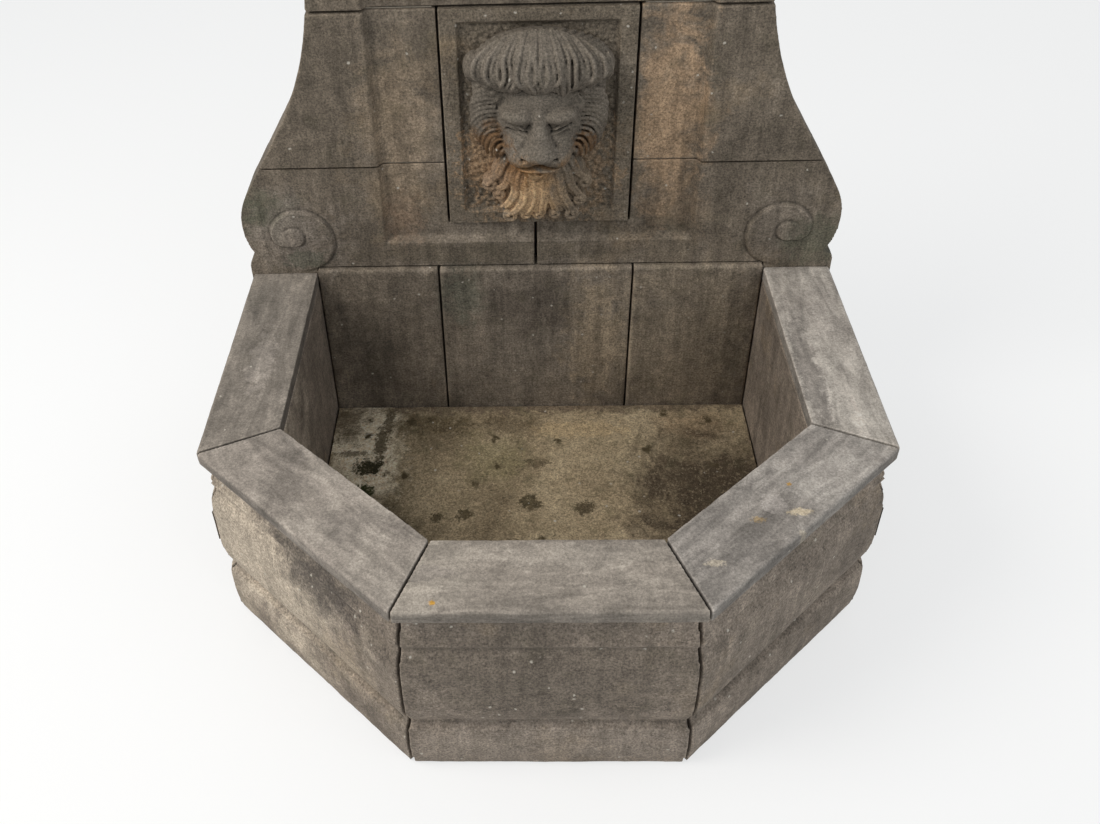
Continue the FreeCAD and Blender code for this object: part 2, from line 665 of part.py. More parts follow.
CORNICE_LOW = "(neck_height + bed_thick)"
CORNICE_TOP = f"({CORNICE_LOW} + cornice_high)"
cornice_body = new_body("cornice_blank")
cornice_section = closed_sketch(cornice_body, "cornice_section", "YZ_Plane", [[
    ("0", CORNICE_LOW), ("back_depth", CORNICE_LOW), ("back_depth", CORNICE_TOP),
    ("-cornice_out", CORNICE_TOP), ("-cornice_out", f"{CORNICE_TOP} - cornice_fillet"),
    ("-cornice_fillet / 4", f"{CORNICE_LOW} + cornice_fillet / 2", "cornice_out / 4"),
    ("-cornice_fillet / 4", CORNICE_LOW),
]])
pad(cornice_body, "cornice_run", cornice_section, "2 * (neck_half + cornice_out)", both_ways=True)
RETURN_SIDES = []
for side in (-1, 1):
    edge = "(neck_half + cornice_out)"
    neck = "(neck_half + cornice_fillet / 4)"
    corners = [(f"{side} * ({edge} + cornice_out)", f"{CORNICE_LOW} - cornice_fillet"),
               (f"{side} * ({edge} + cornice_out)", f"{CORNICE_TOP} - cornice_fillet"),
               (f"{side} * {edge}", f"{CORNICE_TOP} - cornice_fillet"),
               (f"{side} * {neck}", f"{CORNICE_LOW} + cornice_fillet / 2",
                f"{-side} * cornice_out / 4"),
               (f"{side} * {neck}", f"{CORNICE_LOW} - cornice_fillet")]
    RETURN_SIDES.append(corners)
pocket(cornice_body, "cornice_returns",
       closed_sketch(cornice_body, "cornice_ends", "XZ_Plane", RETURN_SIDES))

# Steel dowels: flat bars that stand in sawn slots across the level joints of the back
DOWEL_Y = "back_depth / 2"
DOWEL_PLACES = [("(recess_half + panel_half) / 2", BLOCK_JOINT),
                ("(recess_half + sweep_start_half) / 2", BLOCK_JOINT),
                ("(recess_half + panel_half) / 2", "panel_top"),
                ("recess_half + chase_half * 2", "panel_top"),
                ("recess_half", "neck_height + bed_thick / 2")]
dowels = []
dowel_slots = []
for side in (-1, 1):
    for x, joint in DOWEL_PLACES:
        label = f"dowel_{len(dowels) + 1}"
        low = f"({joint}) - dowel_long / 2"
        dowels.append(box(label, "dowel_wide", "dowel_thick", "dowel_long",
                          f"{side} * ({x})", DOWEL_Y, low))
        dowel_slots.append(box(label + "_slot", "dowel_wide + 2 * dowel_room",
                               "dowel_thick + 2 * dowel_room", "dowel_long + dowel_room",
                               f"{side} * ({x})", DOWEL_Y, low))
compound("back_dowels", dowels)

# Blind holes in the upper blocks' backs take the ties to the garden wall
tie_spaces = [
    cylinder(f"tie_hole_{index}", "tie_radius", "tie_deep", f"{side} * tie_half",
             "back_depth - tie_deep", height, along="back")
    for index, (side, height) in enumerate(
        [(-1, "tie_low"), (1, "tie_low"), (-1, "tie_high"), (1, "tie_high")])]

# Mortar beds in the level joints, set back a little from the faces
BED_FRONT = "(recess_deep + mortar_stop)"
BED_DEEP = f"(back_depth - {BED_FRONT} - mortar_stop)"
BED_Y = f"({BED_FRONT} + {BED_DEEP} / 2)"


def bed(name, left, right, low):
    return box(name, f"({right}) - ({left})", BED_DEEP, "bed_thick",
               f"(({left}) + ({right})) / 2", BED_Y, low)


bed_blanks = []
for side, word in ((-1, "left"), (1, "right")):
    inner = "(panel_half + panel_gap + mortar_stop)"
    outer = f"({straight_half(BLOCK_JOINT)} - mortar_stop * 2)"
    ends = (inner, outer) if side > 0 else (f"-{outer}", f"-{inner}")
    bed_blanks.append(bed(f"block_bed_{word}", *ends, LOWER_TOP))
    outer = f"({sweep_half('panel_top')} - mortar_stop)"
    ends = (inner, outer) if side > 0 else (f"-{outer}", f"-{inner}")
    bed_blanks.append(bed(f"lintel_bed_{word}", *ends, UPPER_TOP))
    outer = f"({INNER_HALF} - mortar_stop)"
    inner = "(chase_half + mortar_stop)"
    ends = (inner, outer) if side > 0 else (f"-{outer}", f"-{inner}")
    bed_blanks.append(bed(f"rail_bed_{word}", *ends, "slab_height"))
    outer = "(panel_half - mortar_stop)"
    ends = (inner, outer) if side > 0 else (f"-{outer}", f"-{inner}")
    bed_blanks.append(bed(f"panel_bed_{word}", *ends, "panel_bottom - bed_thick"))
bed_blanks.append(bed("cornice_bed", "-neck_half + mortar_stop", "neck_half - mortar_stop",
                      "neck_height"))
beds_raw = doc.addObject("Part::Compound", "beds_raw")
beds_raw.Links = bed_blanks
cut("mortar_beds", beds_raw, dowel_slots)

# Mortar in the upright joints beside the lion panel, at the rail's joint and between the slabs
JOINT_FRONT = "(mortar_set + recess_deep)"


def joint_fill(name, middle, gap, front, low, high):
    deep = f"(back_depth - mortar_stop - ({front}))"
    return box(name, gap, deep, f"({high}) - ({low})", middle, f"({front}) + {deep} / 2", low)


compound("upright_mortar", [
    joint_fill("panel_joint_left", "-panel_half", "panel_gap", JOINT_FRONT,
               "panel_bottom", UPPER_TOP),
    joint_fill("panel_joint_right", "panel_half", "panel_gap", JOINT_FRONT,
               "panel_bottom", UPPER_TOP),
    box("rail_joint_fill", "rail_gap", f"{CHASE_FRONT} - {JOINT_FRONT} - mortar_stop",
        f"panel_bottom - bed_thick - {RAIL_LOW}", "-rail_joint",
        f"({CHASE_FRONT} - mortar_stop + {JOINT_FRONT}) / 2", RAIL_LOW),
    joint_fill("slab_joint_left", "-slab_left_joint", "slab_gap", "mortar_stop", "0",
               "slab_height"),
    joint_fill("slab_joint_right", "slab_right_joint", "slab_gap", "mortar_stop", "0",
               "slab_height"),
])

for word, blank in (("left", lower_left), ("right", lower_right)):
    cut("block_lower_" + word, blank, dowel_slots + [chase])
for word, blank in (("left", upper_left), ("right", upper_right)):
    cut("block_upper_" + word, blank, dowel_slots + tie_spaces)
cut("lintel", lintel, dowel_slots)
cut("cornice", cornice_body, dowel_slots)


# Water pipe: a copper spout through the mouth, a brass elbow behind it and a riser in the chase
PIPE_Y = "(back_depth - pipe_back)"
SPOUT_LONG = f"(spout_reach + {PIPE_Y} - elbow_stop)"


def tube(name, radius, wall, length, x, y, z, along="up"):
    outer = cylinder(name + "_outside", radius, length, x, y, z, along)
    inner = cylinder(name + "_bore", f"{radius} - {wall}", length, x, y, z, along)
    pipe = doc.addObject("Part::Cut", name)
    pipe.Base = outer
    pipe.Tool = inner
    return pipe


finish(tube("spout_pipe", "pipe_radius", "pipe_wall", SPOUT_LONG, "0", "-spout_reach",
            "mouth_height", "back"), "spout_pipe")
RISER_LOW = "(inlet_height + nut_stop)"
finish(tube("riser_pipe", "pipe_radius", "pipe_wall", f"(mouth_height - elbow_stop - {RISER_LOW})",
            "0", PIPE_Y, RISER_LOW), "riser_pipe")

# The inlet is a brass coupling with flats for a spanner, which ends in a spigot for the supply
coupling_nut = doc.addObject("Part::Prism", "coupling_nut")
coupling_nut.Polygon = 6
bind(coupling_nut, "Circumradius", "nut_radius")
bind(coupling_nut, "Height", "nut_long")
bind(coupling_nut, "Placement.Base.y", PIPE_Y)
bind(coupling_nut, "Placement.Base.z", "inlet_height")
coupling_solid = doc.addObject("Part::Fuse", "coupling_solid")
coupling_solid.Base = coupling_nut
coupling_solid.Tool = cylinder("coupling_spigot", "inlet_radius", "inlet_long + nut_stop", "0",
                               PIPE_Y, "inlet_height - inlet_long")
cut("pipe_coupling", coupling_solid, [
    cylinder("coupling_way", "pipe_radius - pipe_wall", "inlet_long + nut_stop", "0", PIPE_Y,
             "inlet_height - inlet_long"),
    cylinder("coupling_seat", "pipe_radius", "nut_long - nut_stop", "0", PIPE_Y, RISER_LOW),
])


# The elbow is a cast body with two sockets. The pipes stop short of where their lines cross.
SOCKET = "(pipe_radius + socket_wall)"
elbow_solid = doc.addObject("Part::Fuse", "elbow_solid")
elbow_solid.Base = cylinder("elbow_body", SOCKET, f"socket_long + {SOCKET}", "0", PIPE_Y,
                            "mouth_height - socket_long")
elbow_solid.Tool = cylinder("elbow_branch", SOCKET, "socket_long", "0",
                            f"{PIPE_Y} - socket_long", "mouth_height", "back")
cut("pipe_elbow", elbow_solid, [
    cylinder("elbow_seat_low", "pipe_radius", "socket_long", "0", PIPE_Y,
             "mouth_height - socket_long"),
    cylinder("elbow_seat_front", "pipe_radius", "socket_long", "0",
             f"{PIPE_Y} - socket_long", "mouth_height", "back"),
])

# Clips: a band round the riser on a foot that stands on the chase's floor
clips = []
for index in range(3):
    height = f"clip_low + {index} * clip_step"
    band = doc.addObject("Part::Fuse", f"clip_solid_{index}")
    band.Base = cylinder(f"clip_band_{index}", "pipe_radius + clip_wall", "clip_wide",
                         "0", PIPE_Y, height)
    foot_deep = f"({PIPE_Y} - {CHASE_FRONT})"
    band.Tool = box(f"clip_foot_{index}", "pipe_radius", foot_deep, "clip_wide",
                    "0", f"{CHASE_FRONT} + {foot_deep} / 2", height)
    clip = doc.addObject("Part::Cut", f"clip_{index}")
    clip.Base = band
    clip.Tool = cylinder(f"clip_way_{index}", "pipe_radius", "clip_wide", "0", PIPE_Y, height)
    clips.append(clip)
compound("pipe_clips", clips)

# Lion panel: a border round a sunk ground, set back a little from the blocks' faces
panel_body = upright_stone("panel_blank", [
    rectangle("-panel_half + panel_gap / 2", "panel_half - panel_gap / 2",
              "panel_bottom", UPPER_TOP)], "panel_set", "back_depth - panel_set")
ground = closed_sketch(panel_body, "panel_ground", "XZ_Plane", [
    rectangle("-panel_half + border_side", "panel_half - border_side",
              "panel_bottom + border_end", "panel_top - border_end")])
pocket(panel_body, "panel_sinking", ground, "ground_deep",
       taper="-atan2(ground_deep / 2; ground_deep)")
doc.recompute()

# Lion mask, carved from the panel's stone. The face is a shield that narrows to the muzzle, and each
# form raises or hollows it: where its middle is, across and up from the mask's centre, how wide and
# high it is, and how far it stands out. Across goes by the face's half width, up by its half height.
HEAD_FORMS = {
    "forehead": (0, 0.80, 0.80, 0.36, 0.10),
    "brow": (0.50, 0.50, 0.34, 0.17, 0.13),
    "eye_hollow": (0.52, 0.22, 0.26, 0.13, -0.12),
    "cheekbone": (0.66, -0.02, 0.30, 0.28, 0.04),
    "bridge": (0, 0.22, 0.26, 0.52, 0.15),
    "muzzle": (0, -0.38, 0.66, 0.42, 0.24),
    "nose": (0, -0.26, 0.40, 0.20, 0.12),
    "nostril": (0.36, -0.36, 0.10, 0.10, -0.06),
    "mouth": (0, -0.72, 0.56, 0.10, -0.30),
    "chin": (0, -0.92, 0.44, 0.16, 0.16),
}
SHIELD, SHIELD_RISE = (0.05, 1.02, 1.05, 0.42), 0.62
FRINGE_LOW, FRINGE_MIDDLE, FRINGE_HALF, FRINGE_RISE = 0.99, 1.30, 1.42, 0.76
FRINGE_LOBES = 9
MASK_RINGS = 18
SPOKES_PER_LOCK = 4


def soft_step(value):
    value = min(1.0, max(0.0, value))
    return value * value * (3 - 2 * value)


def face_relief(across, up):
    """The shield of the face and the forms on it, as a share of the mask's relief."""
    middle, high, wide, narrowing = SHIELD
    wide -= narrowing * soft_step(0.5 - up / 1.4)
    shield = math.exp(-(across / wide) ** 6 - (abs(up - middle) / high) ** 8)
    forms = sum(rise * math.exp(-((across - form_across) / form_wide) ** 2
                                - ((up - form_up) / form_high) ** 2)
                for form_across, form_up, form_wide, form_high, rise in HEAD_FORMS.values())
    return SHIELD_RISE * shield + forms * math.sqrt(shield)


def fringe_relief(across, up):
    """The forelock: a cap of strands combed down, whose lobed edge overhangs the forehead."""
    lobed = FRINGE_LOW + 0.05 * math.cos(FRINGE_LOBES * across) + 0.10 * across ** 4
    inside = 1 - (across / FRINGE_HALF) ** 4 - (max(0.0, up - FRINGE_MIDDLE) / 0.74) ** 2
    strands = 0.018 * math.cos(FRINGE_LOBES * math.pi * across)
    return (FRINGE_RISE * math.sqrt(max(0.0, inside)) + strands) * soft_step((up - lobed) / 0.11)


def mask_point(ring, spoke, spread):
    """A corner of the carved face, on rings round the middle and spokes that lean down as locks."""
    share = ring / MASK_RINGS
    bearing = 2 * math.pi * spoke / (SPOKES_PER_LOCK * spread["lock_count"])
    lock = math.cos(spread["lock_count"] * bearing)
    lean = bearing + 0.3 * share ** 2 * math.sin(bearing)
    across, up = math.sin(lean), math.cos(lean)
    squareness = 3 if up > 0 else 2
    reach = share * (1 + 0.05 * lock * share ** 3)
    reach /= (abs(across) ** squareness + abs(up) ** squareness) ** (1 / squareness)
    u = spread["mane_half"] * reach * across
    v = (spread["mane_up"] if up > 0 else spread["mane_down"]) * reach * up
    place = (abs(u) / spread["face_half"], v / spread["face_high"])
    head = spread["mask_relief"] * max(face_relief(*place), fringe_relief(*place))
    mane = spread["mane_relief"] * (1 - share ** 6) + spread["lock_deep"] * lock * share ** 2
    height = max(head, mane) if ring < MASK_RINGS else -spread["ground_deep"] / 2
    ground = spread["panel_set"] + spread["ground_deep"]
    return Vector(u, ground - height, spread["mask_height"] + v)


def facet(*corners):
    return Part.Face(Part.makePolygon([*corners, corners[0]]))


def carved_mask():
    """The mask as a closed solid of flat facets, whose back lies in the panel's stone."""
    spread = {alias: number(alias) for alias in SIZES}
    spokes = round(SPOKES_PER_LOCK * spread["lock_count"])
    rings = [[mask_point(ring, spoke, spread) for spoke in range(spokes)]
             for ring in range(1, MASK_RINGS + 1)]
    sink = Vector(0, 3 * spread["ground_deep"], 0)
    rings.append([corner + sink for corner in rings[-1]])
    middle = mask_point(0, 0, spread)
    facets = [facet(*rings[-1])]
    for spoke in range(spokes):
        beside = (spoke + 1) % spokes
        facets.append(facet(middle, rings[0][spoke], rings[0][beside]))
        ends = (spoke, beside) if spoke < spokes / 2 else (beside, spoke)
        for inner, outer in zip(rings, rings[1:]):
            near, far = ends
            facets.append(facet(inner[near], outer[near], outer[far]))
            facets.append(facet(inner[near], outer[far], inner[far]))
    return Part.makeSolid(Part.makeShell(facets))


mask = doc.addObject("Part::Feature", "lion_mask")
mask.Shape = carved_mask()
carved = doc.addObject("Part::Fuse", "panel_carved")
carved.Base = panel_body
carved.Tool = mask
spout_way = cylinder("spout_way", "pipe_radius + pipe_room",
                     "spout_reach + back_depth + cramp_long", "0", "-spout_reach - cramp_long",
                     "mouth_height", "back")
elbow_room = cylinder("elbow_room", f"{SOCKET} + pipe_room", "socket_long + pipe_room", "0",
                      f"{PIPE_Y} - socket_long - pipe_room", "mouth_height", "back")
cut("lion_panel", carved, [spout_way, elbow_room, chase])

doc.recompute()
for thing in doc.Objects:
    if "Invalid" in thing.State or "Error" in thing.State:
        raise RuntimeError(f"{thing.Label} failed: {thing.State}")
os.makedirs("parts", exist_ok=True)
for name, thing in FINISHED:
    shape = thing.Shape
    if shape.isNull() or not shape.isValid():
        raise RuntimeError(name + " has no valid shape")
    shape.exportStep(f"parts/{name}.step")
    print(name, len(shape.Solids), round(shape.Volume / 1e6, 3))
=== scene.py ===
import math

import bpy
from mathutils import Matrix, Vector, noise
from numpy import interp


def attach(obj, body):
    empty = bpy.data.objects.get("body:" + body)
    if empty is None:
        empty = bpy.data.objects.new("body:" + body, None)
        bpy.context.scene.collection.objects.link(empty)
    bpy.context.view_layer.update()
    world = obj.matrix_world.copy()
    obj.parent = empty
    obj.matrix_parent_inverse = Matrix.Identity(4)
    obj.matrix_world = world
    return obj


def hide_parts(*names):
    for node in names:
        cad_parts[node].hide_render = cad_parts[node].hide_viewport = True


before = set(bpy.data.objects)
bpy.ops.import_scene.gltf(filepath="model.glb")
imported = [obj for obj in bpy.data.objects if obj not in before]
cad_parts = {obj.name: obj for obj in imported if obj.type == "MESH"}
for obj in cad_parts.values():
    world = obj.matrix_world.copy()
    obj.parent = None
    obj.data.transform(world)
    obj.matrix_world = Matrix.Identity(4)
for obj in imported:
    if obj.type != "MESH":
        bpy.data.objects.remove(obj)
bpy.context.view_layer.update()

bpy.context.scene.view_settings.view_transform = "Standard"

# Camera. It is held 2.2 m above the ground before the basin and looks down into it. Its focal
# length and its centre are in pixels of the 1100 x 824 picture, and it leans a little to one side.
IMAGE_WIDE, IMAGE_HIGH = 1100, 824
FOCAL_PIXELS, CENTRE_X, CENTRE_Y = 1071.36, 490, 300
CAMERA_PLACE = Vector((-0.03865, -2.258, 2.1863))
CAMERA_YAW, CAMERA_PITCH, CAMERA_ROLL = 0.0406, 0.6572, -0.0371

ahead = Vector((-math.sin(CAMERA_YAW) * math.cos(CAMERA_PITCH),
                math.cos(CAMERA_YAW) * math.cos(CAMERA_PITCH), -math.sin(CAMERA_PITCH)))
level = Vector((math.cos(CAMERA_YAW), math.sin(CAMERA_YAW), 0))
upright = level.cross(ahead)
right = math.cos(CAMERA_ROLL) * level + math.sin(CAMERA_ROLL) * upright
above = math.cos(CAMERA_ROLL) * upright - math.sin(CAMERA_ROLL) * level
camera_data = bpy.data.cameras.new("camera")
camera_data.sensor_fit = "HORIZONTAL"
camera_data.sensor_width = 36
camera_data.lens = 36 * FOCAL_PIXELS / IMAGE_WIDE
camera_data.shift_x = (IMAGE_WIDE / 2 - CENTRE_X) / IMAGE_WIDE
camera_data.shift_y = (CENTRE_Y - IMAGE_HIGH / 2) / IMAGE_WIDE
camera = bpy.data.objects.new("camera", camera_data)
bpy.context.collection.objects.link(camera)
turn = Matrix((right, above, -ahead)).transposed().to_4x4()
camera.matrix_world = Matrix.Translation(CAMERA_PLACE) @ turn
bpy.context.scene.camera = camera

# Light and floor. Soft daylight comes from above and from the left, as from an open sky. The floor
# is pale and plain, and the camera and what mirrors it see it and the backdrop as near white.
BACKDROP = (0.92, 0.92, 0.92, 1)
SKY_STRENGTH = 0.62
FLOOR_WHITENING = 0.62


def add_node(tree, kind, links=(), **settings):
    """Adds a node, sets its properties, then its sockets, and links (output, input) pairs."""
    node = tree.nodes.new(kind)
    for name, value in settings.items():
        if hasattr(node, name):
            setattr(node, name, value)
    for name, value in settings.items():
        if not hasattr(node, name):
            node.inputs[name].default_value = value
    for source, target in links:
        tree.links.new(source, node.inputs[target])
    return node


world = bpy.data.worlds.new("sky")
bpy.context.scene.world = world
world.use_nodes = True
world.node_tree.nodes.clear()
sky_light = add_node(world.node_tree, "ShaderNodeBackground", Color=(0.93, 0.97, 1, 1),
                     Strength=SKY_STRENGTH)
backdrop = add_node(world.node_tree, "ShaderNodeBackground", Color=BACKDROP, Strength=1)
ray = add_node(world.node_tree, "ShaderNodeLightPath")
seen = add_node(world.node_tree, "ShaderNodeMath",
                [(ray.outputs["Is Camera Ray"], 0), (ray.outputs["Is Glossy Ray"], 1)],
                operation="MAXIMUM")
seen_through = add_node(world.node_tree, "ShaderNodeMath",
                        [(seen.outputs[0], 0), (ray.outputs["Is Transmission Ray"], 1)],
                        operation="MAXIMUM")
sky_mix = add_node(world.node_tree, "ShaderNodeMixShader",
                   [(seen_through.outputs[0], 0), (sky_light.outputs[0], 1),
                    (backdrop.outputs[0], 2)])
add_node(world.node_tree, "ShaderNodeOutputWorld", [(sky_mix.outputs[0], "Surface")])

for lamp_name, place, size, power, colour in (
        ("key_light", (-3.2, -1.6, 4.2), 2.6, 150, (1, 0.96, 0.9)),
        ("fill_light", (2.6, -3.2, 3.4), 3.5, 34, (0.95, 0.98, 1))):
    lamp_data = bpy.data.lights.new(lamp_name, "AREA")
    lamp_data.shape = "DISK"
    lamp_data.size = size
    lamp_data.energy = power
    lamp_data.color = colour
    lamp = bpy.data.objects.new(lamp_name, lamp_data)
    bpy.context.collection.objects.link(lamp)
    lamp.location = place
    towards = Vector((0, -0.4, 0.5)) - lamp.location
    lamp.rotation_euler = towards.to_track_quat("-Z", "Y").to_euler()

bpy.ops.object.select_all(action="DESELECT")
bpy.ops.mesh.primitive_plane_add(size=30, location=(0, 0, 0))
studio_floor = bpy.context.object
studio_floor.name = "studio_floor"
floor_paint = bpy.data.materials.new("pale_floor")
floor_paint.use_nodes = True
floor_tree = floor_paint.node_tree
floor_shader = floor_tree.nodes["Principled BSDF"]
floor_shader.inputs["Base Color"].default_value = (0.86, 0.86, 0.85, 1)
floor_shader.inputs["Roughness"].default_value = 0.9
seen_floor = add_node(floor_tree, "ShaderNodeEmission", Color=(1, 1, 1, 1), Strength=1.0)
floor_ray = add_node(floor_tree, "ShaderNodeLightPath")
whitened = add_node(floor_tree, "ShaderNodeMath", [(floor_ray.outputs["Is Camera Ray"], 0)],
                    operation="MULTIPLY")
whitened.inputs[1].default_value = FLOOR_WHITENING
floor_mix = add_node(floor_tree, "ShaderNodeMixShader",
                     [(whitened.outputs[0], 0), (floor_shader.outputs[0], 1),
                      (seen_floor.outputs[0], 2)])
floor_tree.links.new(floor_mix.outputs[0],
                     floor_tree.nodes["Material Output"].inputs["Surface"])
studio_floor.data.materials.append(floor_paint)

# Stone of the whole fountain: a weathered limestone, sawn and then dressed by hand, so that its
# arrises are worn round and its faces are a little uneven. Age leaves grey lichen, tan patches
# where the stone shows through, dark streaks below water and pale specks.
PATCH_EDGE, PATCH_RAGGEDNESS = 0.82, 0.3
MERGED_WITHIN = 0.00002
DRESSING_WAVE, ROUGH_DRESSING, FINE_DRESSING = 0.07, 0.0025, 0.0015


def linear(code):
    """An sRGB hex colour as the linear colour that a shader takes."""
    channels = [int(code[place:place + 2], 16) / 255 for place in (1, 3, 5)]
    return tuple(c / 12.92 if c <= 0.04045 else ((c + 0.055) / 1.055) ** 2.4
                 for c in channels) + (1,)


def ramp(tree, source, *stops):
    """A colour ramp through (position, colour) stops."""
    node = add_node(tree, "ShaderNodeValToRGB", [(source, "Fac")])
    while len(node.color_ramp.elements) < len(stops):
        node.color_ramp.elements.new(0.5)
    for element, (position, colour) in zip(node.color_ramp.elements, stops):
        element.position = position
        element.color = colour
    return node.outputs["Color"]


def grey(value):
    """A grey, white at 1."""
    return (value, value, value, 1)


def blend_in(tree, share, below, above, kind="MIX"):
    """Lays one colour over another by a share that a pattern gives."""
    node = add_node(tree, "ShaderNodeMix", data_type="RGBA", blend_type=kind)
    for place, source in ((0, share), (6, below), (7, above)):
        if isinstance(source, (float, int, tuple)):
            node.inputs[place].default_value = source
        else:
            tree.links.new(source, node.inputs[place])
    return node.outputs[2]


def patch_share(tree, place, middle, reach):
    """How much of a patch lies at a place: all near its middle, none past its reach. Metres."""
    apart = add_node(tree, "ShaderNodeVectorMath", [(place, 0)], operation="SUBTRACT")
    apart.inputs[1].default_value = middle
    measured = add_node(tree, "ShaderNodeVectorMath", [(apart.outputs[0], 0)], operation="DIVIDE")
    measured.inputs[1].default_value = reach
    distance = add_node(tree, "ShaderNodeVectorMath", [(measured.outputs[0], 0)],
                        operation="LENGTH").outputs["Value"]
    edge = add_node(tree, "ShaderNodeTexNoise", [(place, "Vector")], Scale=1.3 / min(reach),
                    Detail=9, Roughness=0.72, Distortion=0.6).outputs["Fac"]
    ragged = add_node(tree, "ShaderNodeMath", [(edge, 0)], operation="MULTIPLY")
    ragged.inputs[1].default_value = 1.1
    ends = add_node(tree, "ShaderNodeMath", [(distance, 0), (ragged.outputs[0], 2)],
                    operation="MULTIPLY_ADD")
    ends.inputs[1].default_value = PATCH_RAGGEDNESS
    # a small patch ends more sharply than a wide one
    soft = 0.12 if min(reach) > 0.04 else 0.05
    return ramp(tree, ends.outputs[0], (PATCH_EDGE - soft, grey(1)), (PATCH_EDGE + soft, grey(0)))


